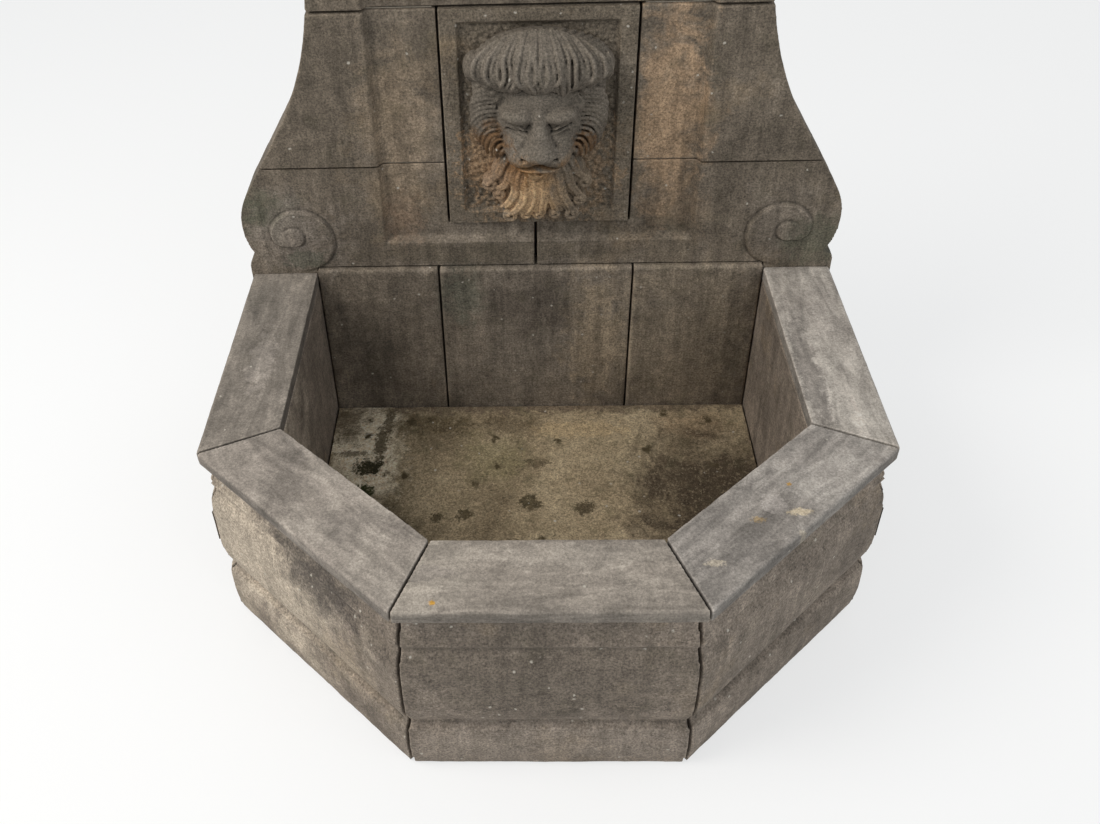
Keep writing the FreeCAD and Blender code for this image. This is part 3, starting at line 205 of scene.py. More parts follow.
def weathered_limestone(name, stone, pale, dark, tan, tan_share=0.3, cloud=0.6, streak=0.25,
                        moss=0.1, marbling=None, mottle=(40, 0.45), flecks=0.3, specks=0.02,
                        pores=0.5, upright_face_shade=0.0, growth=0.0, hollow_shade_and_arris_wear=0.3, grain=1.0, patches=()):
    """Limestone that has stood outdoors: rough and matt all over, with pores that catch dirt.

    A pattern's scale is 1 over its size in metres, and a share says how much of it shows.
    """
    material = bpy.data.materials.new(name)
    material.use_nodes = True
    tree = material.node_tree
    shader = tree.nodes["Principled BSDF"]
    shader.inputs["Roughness"].default_value = 0.88
    shader.inputs["Specular IOR Level"].default_value = 0.3
    place = add_node(tree, "ShaderNodeTexCoord").outputs["Object"]
    geometry = add_node(tree, "ShaderNodeNewGeometry")
    # clouds of lichen and soot, about 200 mm across
    clouds = add_node(tree, "ShaderNodeTexNoise", [(place, "Vector")], Scale=5, Detail=10,
                      Roughness=0.66, Distortion=0.3).outputs["Fac"]
    colour = blend_in(tree, cloud, linear(stone),
                      ramp(tree, clouds, (0.32, linear(dark)), (0.5, linear(stone)),
                           (0.68, linear(pale))))
    # tan where the crust has gone
    worn_through = add_node(tree, "ShaderNodeTexNoise", [(place, "Vector")], Scale=4.1, Detail=10,
                            Roughness=0.68, W=3.0, noise_dimensions="4D").outputs["Fac"]
    tan_here = ramp(tree, worn_through, (0.62 - 0.25 * tan_share, grey(0)),
                    (0.78 - 0.2 * tan_share, grey(0.6)))
    colour = blend_in(tree, tan_here, colour, linear(tan))
    for middle, reach, code, strength in patches:
        share = blend_in(tree, 1.0, patch_share(tree, place, middle, reach), grey(strength),
                         "MULTIPLY")
        colour = blend_in(tree, share, colour, linear(code))
    if marbling is not None:
        # pale streaks of the bedding, 40 mm wide and 200 mm long, that run along a sawn slab
        along = add_node(tree, "ShaderNodeMapping", [(place, "Vector")], vector_type="TEXTURE",
                         Rotation=(0, 0, math.radians(marbling)), Scale=(5, 1, 1)).outputs[0]
        bedding = add_node(tree, "ShaderNodeTexNoise", [(along, "Vector")], Scale=26, Detail=7,
                           Roughness=0.62, Distortion=1.1).outputs["Fac"]
        colour = blend_in(tree, 0.8, colour,
                          ramp(tree, bedding, (0.33, grey(0.3)), (0.5, grey(0.49)),
                               (0.64, grey(0.68))), "OVERLAY")
    if streak:
        # streaks that water leaves as it runs down, 30 mm wide and 330 mm long
        running = add_node(tree, "ShaderNodeMapping", [(place, "Vector")],
                           Scale=(1, 1, 0.09)).outputs[0]
        water = add_node(tree, "ShaderNodeTexNoise", [(running, "Vector")], Scale=34, Detail=6,
                         Roughness=0.65).outputs["Fac"]
        colour = blend_in(tree, streak, colour,
                          ramp(tree, water, (0.3, grey(0.2)), (0.5, grey(0.5)), (0.7, grey(0.75))),
                          "OVERLAY")
    # mottling, 25 mm as a rule, and the stone's grain of 5 mm, coarser than the real one to show
    for size, detail, share, low, high in ((mottle[0], 8, mottle[1], 0.25, 0.75),
                                           (210, 6, grain, 0.1, 0.9)):
        speckled = add_node(tree, "ShaderNodeTexNoise", [(place, "Vector")], Scale=size,
                            Detail=detail, Roughness=0.75).outputs["Fac"]
        colour = blend_in(tree, share, colour,
                          ramp(tree, speckled, (0.28, grey(low)), (0.5, grey(0.5)),
                               (0.72, grey(high))), "OVERLAY")
    # dashes left by the comb chisel, 3 mm wide and 20 mm long, both ways
    for stretch in ((1, 1, 0.14), (0.14, 0.14, 1)):
        combed = add_node(tree, "ShaderNodeMapping", [(place, "Vector")], Scale=stretch).outputs[0]
        dashes = add_node(tree, "ShaderNodeTexNoise", [(combed, "Vector")], Scale=330, Detail=2,
                          Roughness=0.5).outputs["Fac"]
        colour = blend_in(tree, 0.3, colour,
                          ramp(tree, dashes, (0.25, grey(0.3)), (0.75, grey(0.7))), "OVERLAY")
    # pale flecks of shell and lime, 8 mm
    fleck = add_node(tree, "ShaderNodeTexNoise", [(place, "Vector")], Scale=120, Detail=5,
                     Roughness=0.7, W=5.0, noise_dimensions="4D").outputs["Fac"]
    colour = blend_in(tree, ramp(tree, fleck, (0.54, grey(0)), (0.7, grey(flecks))), colour,
                      linear(pale))
    # pale specks of lichen, 4 to 8 mm, and dark growths of 15 to 35 mm, each in some of the cells
    for scale, share, near, far, code in ((60, specks, 0.12, 0.24, "#b4ada1"),
                                          (17, growth, 0.13, 0.3, "#473d2a")):
        if not share:
            continue
        wobble = add_node(tree, "ShaderNodeTexNoise", [(place, "Vector")], Scale=scale * 3,
                          Detail=4, Roughness=0.6).outputs["Color"]
        moved = blend_in(tree, 0.025 if scale < 30 else 0.004, place, wobble, "LINEAR_LIGHT")
        cells = add_node(tree, "ShaderNodeTexVoronoi", [(moved, "Vector")], Scale=scale,
                         Randomness=1)
        cut = add_node(tree, "ShaderNodeSeparateColor", [(cells.outputs["Color"], 0)])
        here = ramp(tree, cut.outputs[0], (0.99 - share, grey(0)), (1 - share, grey(1)))
        spot = ramp(tree, cells.outputs["Distance"], (near, grey(1)), (far, grey(0)))
        colour = blend_in(tree, blend_in(tree, 1.0, here, spot, "MULTIPLY"), colour, linear(code))
    # green growth in the damp
    damp = add_node(tree, "ShaderNodeTexNoise", [(place, "Vector")], Scale=14, Detail=7,
                    Roughness=0.7, W=7.0, noise_dimensions="4D").outputs["Fac"]
    colour = blend_in(tree, ramp(tree, damp, (0.52, grey(0)), (0.75, grey(moss))), colour,
                      linear("#4c4a34"))
    # worn arrises are paler, and hollows are darkened as painted shade
    colour = blend_in(tree, 1.0, colour,
                      ramp(tree, geometry.outputs["Pointiness"], (0.43, grey(0.5 - hollow_shade_and_arris_wear)),
                           (0.49, grey(0.5)), (0.515, grey(0.5)),
                           (0.57, grey(0.5 + 0.7 * hollow_shade_and_arris_wear))), "OVERLAY")
    if upright_face_shade:
        # painted shade: upright faces are darkened against the top faces
        facing = add_node(tree, "ShaderNodeSeparateXYZ", [(geometry.outputs["Normal"], 0)])
        colour = blend_in(tree, 1.0, colour,
                          ramp(tree, facing.outputs["Z"], (0.3, grey((1 - upright_face_shade) ** 2.2)),
                               (0.9, grey(1))), "MULTIPLY")
    tree.links.new(colour, shader.inputs["Base Color"])
    # pores of 6 mm and finer
    pits = add_node(tree, "ShaderNodeTexNoise", [(place, "Vector")], Scale=170, Detail=7,
                    Roughness=0.72).outputs["Fac"]
    relief = add_node(tree, "ShaderNodeBump", [(pits, "Height")], Strength=pores, Distance=0.003)
    tree.links.new(relief.outputs[0], shader.inputs["Normal"])
    return material


def stone_of(node):
    """A merged copy of a CAD node, to be worked on as the mason's finished block."""
    bpy.ops.object.select_all(action="DESELECT")
    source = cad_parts[node]
    stone = source.copy()
    stone.data = source.data.copy()
    stone.name = node + "_stone"
    bpy.context.collection.objects.link(stone)
    stone.hide_render = stone.hide_viewport = False
    stone.hide_set(False)
    stone.data.materials.clear()
    bpy.context.view_layer.objects.active = stone
    stone.select_set(True)
    bpy.ops.object.mode_set(mode="EDIT")
    bpy.ops.mesh.select_all(action="SELECT")
    bpy.ops.mesh.remove_doubles(threshold=MERGED_WITHIN)
    bpy.ops.object.mode_set(mode="OBJECT")
    return stone


def even_mesh(stone, voxel):
    """Gives a stone an even net of small faces."""
    bpy.context.view_layer.objects.active = stone
    remesh = stone.modifiers.new("remesh", "REMESH")
    remesh.mode = "VOXEL"
    remesh.voxel_size = voxel
    bpy.ops.object.modifier_apply(modifier="remesh")


def thin(stone, most):
    """Joins faces where the form is nearly flat, until no more than most triangles are left."""
    bpy.context.view_layer.objects.active = stone
    triangles = sum(len(face.vertices) - 2 for face in stone.data.polygons)
    if triangles > most:
        fewer = stone.modifiers.new("thin", "DECIMATE")
        fewer.ratio = most / triangles
        bpy.ops.object.modifier_apply(modifier="thin")


def wear(stone, rounds, waves=ROUGH_DRESSING):
    """Rounds the arrises and makes the faces uneven. The stone only ever loses by it."""
    bpy.context.view_layer.objects.active = stone
    soften = stone.modifiers.new("soften", "SMOOTH")
    soften.factor = 0.5
    soften.iterations = rounds
    bpy.ops.object.modifier_apply(modifier="soften")
    for size, depth in ((DRESSING_WAVE, waves), (DRESSING_WAVE / 4, waves / 3)):
        unevenness = bpy.data.textures.new(f"dressing_{round(size * 1000)}", "CLOUDS")
        unevenness.noise_scale = size
        unevenness.noise_depth = 3
        dressing = stone.modifiers.new("dressing", "DISPLACE")
        dressing.texture = unevenness
        dressing.texture_coords = "LOCAL"
        dressing.mid_level = 1
        dressing.strength = depth
        bpy.ops.object.modifier_apply(modifier="dressing")


def finish_stone(stone, node, material, most=90000):
    """Gives a dressed stone its finish and puts it in the place of its CAD node."""
    thin(stone, most)
    for face in stone.data.polygons:
        face.use_smooth = True
    stone.data.materials.append(material)
    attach(stone, "root")
    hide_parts(node)


# Copings: five sawn slabs with a rounded nose, mitred where they meet, bedded on the walls. Rain
# keeps them paler than the walls, and the stone's bedding shows as pale streaks along each slab.
COPING_VOXEL = 0.004
# each patch or smudge: its middle, how far it reaches, its colour and how much of it shows
SMUDGES = {
    "coping_left": (((-0.66, -0.35, 0.54), (0.03, 0.12, 0.1), "#9a9188", 0.6),
                    ((-0.7, -0.1, 0.54), (0.06, 0.1, 0.1), "#6b655d", 0.5)),
    "coping_front_left": (((-0.55, -0.74, 0.54), (0.05, 0.12, 0.1), "#6c655e", 0.55),
                          ((-0.4, -0.86, 0.54), (0.05, 0.06, 0.1), "#746d66", 0.5)),
    "coping_front": (((-0.216, -1.038, 0.54), (0.006, 0.006, 0.05), "#b98a2c", 0.9),
                     ((-0.24, -0.97, 0.54), (0.07, 0.018, 0.1), "#7f7770", 0.6),
                     ((0.05, -0.93, 0.54), (0.2, 0.03, 0.1), "#a0978c", 0.5)),
    "coping_front_right": (((0.45, -0.84, 0.54), (0.08, 0.08, 0.1), "#6d6761", 0.55),
                           ((0.456, -0.804, 0.54), (0.032, 0.024, 0.1), "#a39b94", 0.7),
                           ((0.503, -0.825, 0.54), (0.024, 0.01, 0.1), "#b9a98f", 0.8),
                           ((0.317, -0.95, 0.54), (0.018, 0.009, 0.1), "#b7ab99", 0.8),
                           ((0.503, -0.878, 0.54), (0.014, 0.008, 0.1), "#b5a997", 0.7),
                           ((0.418, -0.844, 0.54), (0.014, 0.007, 0.1), "#a58a5c", 0.6),
                           ((0.494, -0.751, 0.54), (0.005, 0.005, 0.05), "#b98a2c", 0.8)),
    "coping_right": (((0.61, -0.4, 0.54), (0.03, 0.2, 0.1), "#736c66", 0.6),
                     ((0.7, -0.2, 0.54), (0.05, 0.1, 0.1), "#aba299", 0.4)),
}
for node, run, stone_code, pale_code, dark_code in (
        ("coping_left", 90, "#7f776e", "#938a80", "#6b645c"),
        ("coping_front_left", -42, "#8f867d", "#a89f94", "#756e66"),
        ("coping_front", 0, "#8f867c", "#a59c90", "#787067"),
        ("coping_front_right", 42, "#918a83", "#a9a29a", "#79736d"),
        ("coping_right", 90, "#a0988f", "#b8b0a6", "#857d75")):
    # the copings' upright faces are darkened a little against their tops, as painted shade
    coping_finish = weathered_limestone("weathered_limestone_" + node, stone_code, pale_code,
                                        dark_code, "#a0917c", tan_share=0.12, cloud=0.8,
                                        streak=0, marbling=run, mottle=(30, 0.35), flecks=0.2,
                                        specks=0.012, upright_face_shade=0.15, grain=0.6,
                                        patches=SMUDGES[node])
    stone = stone_of(node)
    even_mesh(stone, COPING_VOXEL)
    wear(stone, 2, FINE_DRESSING)
    finish_stone(stone, node, coping_finish)

# Wall stones: five blocks, each with its band, groove, bulging belly, notch and plinth cut along it.
# They stand on the ground under the copings and are darker, with tan patches where crust has gone.
# Painted light pales the left wall, and painted shade darkens the front wall's belly.
WALL_VOXEL = 0.005
wall_finish = weathered_limestone(
    "weathered_limestone_wall", "#7b7065", "#94877a", "#5c534a", "#9c886d", tan_share=0.3,
    moss=0.25, cloud=0.8, flecks=0.5, streak=0.4, specks=0.06, mottle=(30, 0.7),
    # the large pale patch on the left wall is partly tan stone, partly painted light on the side the
    # lamp faces
    patches=(((-0.62, -0.72, 0.3), (0.24, 0.3, 0.24), "#b3a695", 0.85),
             ((-0.4, -0.93, 0.2), (0.12, 0.12, 0.1), "#a0917d", 0.5),
             ((-0.47, -0.87, 0.42), (0.13, 0.13, 0.09), "#4b4540", 0.85),
             # the dark patch over the front wall's belly is painted shade
             ((0, -1.06, 0.32), (0.4, 0.1, 0.13), "#635a50", 0.7),
             ((0, -1.06, 0.08), (0.4, 0.1, 0.08), "#8b8075", 0.6)))
# the groove and the notch lie a little lower towards the front: each height, and how far it falls
SIDE_CORNER, FRONT_CORNER = 0.652, 1.04
PROFILE_HEIGHTS = (0, 0.166, 0.43, 0.446, 0.504)
PROFILE_FALLS = (0, 0.016, 0.027, 0.027, 0)
for node in ("wall_left", "wall_front_left", "wall_front", "wall_front_right", "wall_right"):
    stone = stone_of(node)
    for vertex in stone.data.vertices:
        forward = interp(-vertex.co.y, (SIDE_CORNER, FRONT_CORNER), (0, 1))
        vertex.co.z -= forward * interp(vertex.co.z, PROFILE_HEIGHTS, PROFILE_FALLS)
    even_mesh(stone, WALL_VOXEL)
    wear(stone, 3)
    finish_stone(stone, node, wall_finish)

# Back stones: slabs behind the basin, scrolled blocks beside the lion panel, the lintel and the
# cornice. They stay damp and dark, with water streaks.
BACK_VOXEL = 0.005
back_finish = weathered_limestone(
    "weathered_limestone_back", "#695f53", "#7f7467", "#4b443b", "#86735a", tan_share=0.25,
    moss=0.3, streak=0.6, cloud=0.75, flecks=0.5, specks=0.025, mottle=(30, 0.75),
    patches=(((-0.34, 0.02, 0.7), (0.05, 0.3, 0.07), "#8d7662", 0.6),
             ((-0.33, 0.02, 0.95), (0.08, 0.3, 0.22), "#94836f", 0.65),
             ((0.31, 0.02, 0.98), (0.08, 0.3, 0.24), "#a58a6e", 0.75),
             ((0.34, 0.02, 0.72), (0.07, 0.3, 0.08), "#8a7660", 0.5),
             ((0, 0.02, 0.34), (0.3, 0.3, 0.3), "#857b6f", 0.55),
             ((0.15, 0.02, 0.33), (0.075, 0.3, 0.19), "#a08f78", 0.75),
             ((-0.03, 0.02, 0.44), (0.12, 0.3, 0.11), "#5a5148", 0.7),
             ((-0.12, 0, 0.595), (0.33, 0.3, 0.035), "#5d5446", 0.5),
             ((0.4, 0.02, 0.32), (0.2, 0.3, 0.28), "#8a7d6b", 0.7),
             ((-0.2, 0.02, 0.46), (0.05, 0.3, 0.09), "#565a4e", 0.5),
             ((-0.69, 0, 0.72), (0.08, 0.3, 0.07), "#4f5546", 0.5),
             ((-0.62, 0, 0.66), (0.12, 0.3, 0.11), "#857b71", 0.7),
             ((0.6, 0, 0.68), (0.09, 0.3, 0.1), "#7f756a", 0.5),
             ((-0.6, 0, 0.585), (0.06, 0.3, 0.03), "#4c5144", 0.5),
             ((0.7, 0, 0.62), (0.08, 0.3, 0.07), "#525646", 0.5)))
for node in ("back_slab_left", "back_slab_middle", "back_slab_right", "block_upper_left",
             "block_upper_right", "lintel", "cornice"):
    stone = stone_of(node)
    even_mesh(stone, BACK_VOXEL)
    wear(stone, 2, FINE_DRESSING)
    finish_stone(stone, node, back_finish)

# Scrolls: the foot of each lower block is carved with a scroll. A band starts level with the face at
# the foot, rises as it winds up and round, and ends in a lobe that stands proud as the scroll's eye.
# The edges are (degrees wound, millimetres from the middle).
SCROLL_VOXEL = 0.003
SCROLL_MIDDLE = (0.622, 0.655)
SCROLL_ACROSS, SCROLL_UP = (0.49, 0.76), (0.53, 0.78)
BLOCK_FOOT_INNER = 0.45
FIRST_BEARING = -60
SCROLL_RISE, LOBE_RISE, EDGE_WIDE = 0.0095, 0.012, 0.0035
RIM_GROOVE, LOBE_GROOVE = 0.0022, 0.003
SCROLL_EDGE = ((0, 112), (45, 109), (73, 109), (111, 100), (144, 92), (200, 80), (245, 70),
               (282, 65), (317, 58), (345, 42), (360, 33))
LOBE_EDGE = ((0, 33), (9, 30), (60, 27), (108, 24), (206, 29), (258, 31), (300, 33), (360, 36))


def reach_at(edge, turned):
    """How far an edge is from the scroll's middle, in metres, after so many degrees."""
    wound, far = zip(*edge)
    return interp(turned, wound, far) / 1000


def soft_step(value):
    """0 up to 0, 1 from 1 on, and a smooth rise between."""
    value = max(0.0, min(1.0, value))
    return value * value * (3 - 2 * value)


def scroll_relief(x, z):
    """How far the carved scroll stands out of the block's face at a place, in metres."""
    across, up = x - SCROLL_MIDDLE[0], z - SCROLL_MIDDLE[1]
    radius = math.hypot(across, up)
    turned = (FIRST_BEARING - math.degrees(math.atan2(up, across))) % 360
    rim = reach_at(SCROLL_EDGE, turned)
    lobe = reach_at(LOBE_EDGE, turned)
    # the band, which rises as it winds
    band = SCROLL_RISE * soft_step((turned - 8) / 120)
    height = band * soft_step((rim - radius) / EDGE_WIDE + 0.5)
    # the shallow groove outside it
    beside_rim = math.exp(-((radius - rim - 0.003) / 0.004) ** 2)
    height -= RIM_GROOVE * beside_rim * soft_step((turned - 20) / 60)
    # the lobe, and the groove round it
    on_lobe = soft_step((lobe - radius) / EDGE_WIDE + 0.5) * soft_step((300 - turned) / 50)
    height += (LOBE_RISE - band) * on_lobe
    beside_lobe = math.exp(-((radius - lobe - 0.002) / 0.0035) ** 2)
    return height - LOBE_GROOVE * beside_lobe * soft_step((290 - turned) / 40)


for node, side in (("block_lower_left", -1), ("block_lower_right", 1)):
    stone = stone_of(node)
    # the plain scroll of the CAD block is pressed flat, and the finer one is raised in its place
    for vertex in stone.data.vertices:
        x, y, z = vertex.co
        if y < -0.0002 and side * x > BLOCK_FOOT_INNER:
            vertex.co.y = 0
    even_mesh(stone, SCROLL_VOXEL)
    for vertex in stone.data.vertices:
        x, y, z = vertex.co
        on_scroll = (SCROLL_ACROSS[0] < side * x < SCROLL_ACROSS[1]
                     and SCROLL_UP[0] < z < SCROLL_UP[1])
        if y < 0.004 and on_scroll:
            vertex.co.y -= scroll_relief(side * x, z)
    wear(stone, 1, FINE_DRESSING)
    finish_stone(stone, node, back_finish, most=120000)

# Basin floor: one slab, bedded inside the walls and laid to hold water. Silt has stained it tan,
# growth is dark where water stands, and it is bare and pale in the left corner, round a crack.
FLOOR_VOXEL, FLOOR_DRESSING = 0.008, 0.003
floor_finish = weathered_limestone(
    "silted_limestone_floor", "#94846a", "#b0a084", "#5f523f", "#a6947a", tan_share=0.3,
    moss=0.6, streak=0, mottle=(85, 1.0), flecks=0.7, specks=0.04, cloud=0.75, pores=0.9,
    growth=0.22,
    patches=(((0.1, -0.11, 0.07), (0.13, 0.035, 0.1), "#a89372", 0.7),
             ((0.42, -0.1, 0.07), (0.1, 0.05, 0.1), "#957f64", 0.6),
             ((0.43, -0.34, 0.07), (0.22, 0.27, 0.2), "#392e24", 0.88),
             ((-0.3, -0.09, 0.07), (0.12, 0.05, 0.1), "#4d412c", 0.7),
             ((-0.08, -0.09, 0.07), (0.08, 0.05, 0.1), "#4d402f", 0.6),
             ((0, -0.005, 0.07), (0.9, 0.04, 0.1), "#5d4f42", 0.75),
             ((-0.42, -0.43, 0.07), (0.1, 0.09, 0.1), "#4b4230", 0.7),
             ((-0.13, -0.22, 0.07), (0.09, 0.09, 0.1), "#6b6843", 0.35),
             ((-0.49, -0.18, 0.07), (0.1, 0.2, 0.2), "#dccdb3", 1),
             ((-0.545, -0.07, 0.07), (0.05, 0.09, 0.1), "#5d4f3c", 0.85),
             ((-0.425, -0.08, 0.07), (0.015, 0.07, 0.1), "#5e523e", 0.9),
             ((-0.44, -0.17, 0.07), (0.017, 0.08, 0.1), "#574b38", 0.9),
             ((-0.51, -0.2, 0.07), (0.05, 0.012, 0.1), "#5f5442", 0.8),
             ((-0.465, -0.25, 0.07), (0.042, 0.034, 0.1), "#2f2b18", 1),
             ((-0.48, -0.35, 0.07), (0.036, 0.05, 0.1), "#2f3316", 1),
             ((-0.2, -0.42, 0.07), (0.02, 0.02, 0.1), "#453b28", 0.9),
             ((-0.03, -0.38, 0.07), (0.028, 0.028, 0.1), "#453b28", 0.9),
             ((-0.01, -0.24, 0.07), (0.03, 0.02, 0.1), "#5a4d3a", 0.8),
             ((0.11, -0.4, 0.07), (0.03, 0.025, 0.1), "#4a3f2d", 0.9),
             ((-0.27, -0.43, 0.07), (0.018, 0.018, 0.1), "#453b28", 0.9)))
stone = stone_of("basin_floor")
even_mesh(stone, FLOOR_VOXEL)
wear(stone, 1, FLOOR_DRESSING)
finish_stone(stone, "basin_floor", floor_finish)

# Lion panel and mask, carved from one stone. The panel has a raised border round a punched ground,
# and the mask stands out of it: forms are laid on as a modeller lays clay, then the hair's locks.
MASK_HEIGHT = 0.962
MASK_GROUND = 0.022
FACE_VOXEL, MASK_VOXEL, MASK_TRIANGLES = 0.0035, 0.0022, 190000
SPOUT_HEIGHT, SPOUT_WAY = 0.868, 0.012
mask_forms = []


def swelling(x, up, out, half_wide, half_deep, half_high, lean=0.0, tip=0.0):
    """An egg whose front stands out of the ground by out. All in millimetres and degrees."""
    bpy.ops.object.select_all(action="DESELECT")
    bpy.ops.mesh.primitive_uv_sphere_add(
        segments=40, ring_count=24, radius=0.001,
        location=(x / 1000, MASK_GROUND - (out - half_deep) / 1000, MASK_HEIGHT + up / 1000),
        rotation=(math.radians(tip), math.radians(lean), 0),
        scale=(half_wide, half_deep, half_high))
    mask_forms.append(bpy.context.object)


def both(x, *form, lean=0.0, tip=0.0):
    """A form on each side of the face."""
    swelling(x, *form, lean=lean, tip=tip)
    swelling(-x, *form, lean=-lean, tip=tip)


def lock(path, thick, root=0.6, end=0.35):
    """A lock of hair: a tapered round strand along (x, up, out) points, thickest in its middle."""
    curve = bpy.data.curves.new("lock", "CURVE")
    curve.dimensions = "3D"
    curve.bevel_depth = 0.001
    curve.bevel_resolution = 2
    curve.resolution_u = 6
    curve.use_fill_caps = True
    strand = curve.splines.new("NURBS")
    strand.points.add(len(path) - 1)
    for index, (point, (x, up, out)) in enumerate(zip(strand.points, path)):
        share = index / (len(path) - 1)
        point.co = (x / 1000, MASK_GROUND - out / 1000, MASK_HEIGHT + up / 1000, 1)
        point.radius = thick * (root + (1 - root) * min(1, 3 * share)
                                - (1 - end) * max(0, 2 * share - 1) ** 1.5)
    strand.order_u = 4
    strand.use_endpoint_u = True
    piece = bpy.data.objects.new("lock", curve)
    bpy.context.collection.objects.link(piece)
    bpy.ops.object.select_all(action="DESELECT")
    bpy.context.view_layer.objects.active = piece
    piece.select_set(True)
    bpy.ops.object.convert(target="MESH")
    mask_forms.append(bpy.context.object)


def between(first, last, share):
    """A value on the way from the first to the last."""
    return first + (last - first) * share


def join_forms(name):
    """Makes one object of the forms laid so far, cut off flat just behind the panel's ground."""
    bpy.ops.object.select_all(action="DESELECT")
    for form in mask_forms:
        form.select_set(True)
    bpy.context.view_layer.objects.active = mask_forms[0]
    bpy.ops.object.join()
    joined = bpy.context.object
    joined.name = name
    bpy.ops.object.transform_apply(location=True, rotation=True, scale=True)
    bpy.ops.object.mode_set(mode="EDIT")
    bpy.ops.mesh.select_all(action="SELECT")
    bpy.ops.mesh.bisect(plane_co=(0, MASK_GROUND + 0.006, 0), plane_no=(0, 1, 0),
                        clear_outer=True, use_fill=True)
    bpy.ops.object.mode_set(mode="OBJECT")
    mask_forms.clear()
    return joined


# face: a broad shield that narrows to the muzzle, worked smooth before the hair is laid. In turn:
# skull, sides, forehead, lower face, cheeks, nose, muzzle, jaw, chin, temples and brows
swelling(0, 44, 90, 104, 62, 108)
both(58, 34, 80, 54, 56, 76)
swelling(0, 92, 96, 84, 62, 52)
swelling(0, -14, 104, 82, 64, 60)
both(42, -28, 100, 46, 56, 50)
swelling(0, 40, 104, 20, 30, 48)
swelling(0, 4, 119, 27, 36, 48, tip=-12)
swelling(0, -26, 127, 36, 30, 30)
swelling(0, -36, 130, 43, 24, 18)
both(34, -50, 114, 42, 40, 29, lean=6)
swelling(0, -88, 85, 52, 44, 22)
swelling(0, -104, 80, 46, 44, 30)
both(92, 80, 70, 30, 46, 46)
both(101, 98, 66, 24, 42, 34)
both(50, 58, 110, 40, 32, 21, lean=-9)
face = join_forms("lion_face")
even_mesh(face, FACE_VOXEL)
blend_forms = face.modifiers.new("blend", "SMOOTH")
blend_forms.factor = 0.6
blend_forms.iterations = 14
bpy.ops.object.modifier_apply(modifier="blend")
mask_forms.append(face)
# eyeballs, lower lip and lids
both(53, 27, 84, 24, 12, 9, lean=-16)
swelling(0, -77, 110, 50, 20, 7)
for side in (-1, 1):
    lock([(side * 27, 16, 88), (side * 42, 31, 92), (side * 60, 38, 88), (side * 84, 52, 74)], 3.4)
    lock([(side * 28, 12, 88), (side * 44, 15, 88), (side * 62, 22, 84), (side * 80, 40, 72)], 3.0)
# forelock: a cap of fine strands combed down from the crown into rounded clumps
swelling(0, 184, 86, 134, 62, 60)
swelling(0, 150, 96, 112, 52, 34)
both(148, 160, 64, 25, 36, 33)
both(103, 116, 64, 26, 38, 26)
both(106, 110, 72, 18, 34, 18)
both(72, 150, 92, 16, 34, 32)
for side in (-1, 1):
    for index in range(4):
        lock([(side * (127 + 9 * index), 192, 42),
              (side * (129 + 11 * index), 178, 63 - 4 * index),
              (side * (131 + 12 * index), 158, 67 - 5 * index),
              (side * (131 + 11 * index), 138, 60 - 4 * index),
              (side * (128 + 9 * index), 124, 44 - 3 * index)], 4.6, root=0.7, end=0.7)
# the corners of the jaw, under the side manes
both(80, -56, 54, 28, 40, 24)
# each clump: its middle, half its width, the height of its tip and how far it sweeps aside
CLUMPS = ((-118, 24, 127, 12), (-88, 27, 118, 10), (-54, 28, 120, -10), (-20, 26, 116, 10),
          (16, 26, 121, -10), (52, 30, 111, 3), (90, 28, 118, -10), (120, 22, 128, -12))
for middle, half, tip_height, sweep in CLUMPS:
    bow = 1 - (middle / 150) ** 2 * 0.42
    # the clump's body, and five strands over it, every other one set back
    swelling(middle - sweep * 0.4, 162, 110 * bow + 6, half + 5, 42, 42)
    swelling(middle + sweep * 0.3, 138, 103 * bow + 4, half, 36, 26)
    for index in range(5):
        share = index / 4 * 2 - 1
        sunk = 2.5 * (index % 2)
        top = middle + share * half
        low = middle + sweep + share * half * 0.5
        drop = tip_height + 10 * share ** 2
        arch = 1 - 0.3 * (top / 140) ** 2
        lock([(top * 0.62, 184 + 66 * arch, 46 - sunk),
              (top * 0.78, 184 + 50 * arch, 66 * bow + 10 - sunk),
              (top * 0.92, 184 + 30 * arch, 86 * bow + 9 - sunk),
              (top, 198, 96 * bow + 7 - sunk),
              (top - sweep * 0.6, 176, 106 * bow + 6 - sunk),
              (top + share * 2 - sweep * 0.4, 150, 110 * bow + 5 - sunk),
              (low + share * 11, drop + 12, 103 * bow + 3 - sunk),
              (low + share * 3, drop - 1, 88 * bow)],
             5.9 - 1.5 * (index % 2), root=0.7, end=0.75)
# the crown: short locks that fan up and out behind the cap
for index in range(19):
    bearing = math.radians(between(-82, 82, index / 18))
    across, rise = math.sin(bearing), math.cos(bearing)
    lock([(84 * across, 186 + 34 * rise, 70), (112 * across, 184 + 50 * rise, 62),
          (136 * across + 5, 178 + 64 * rise, 44), (152 * across + 9, 172 + 68 * rise, 18)],
         12, root=0.6, end=0.5)
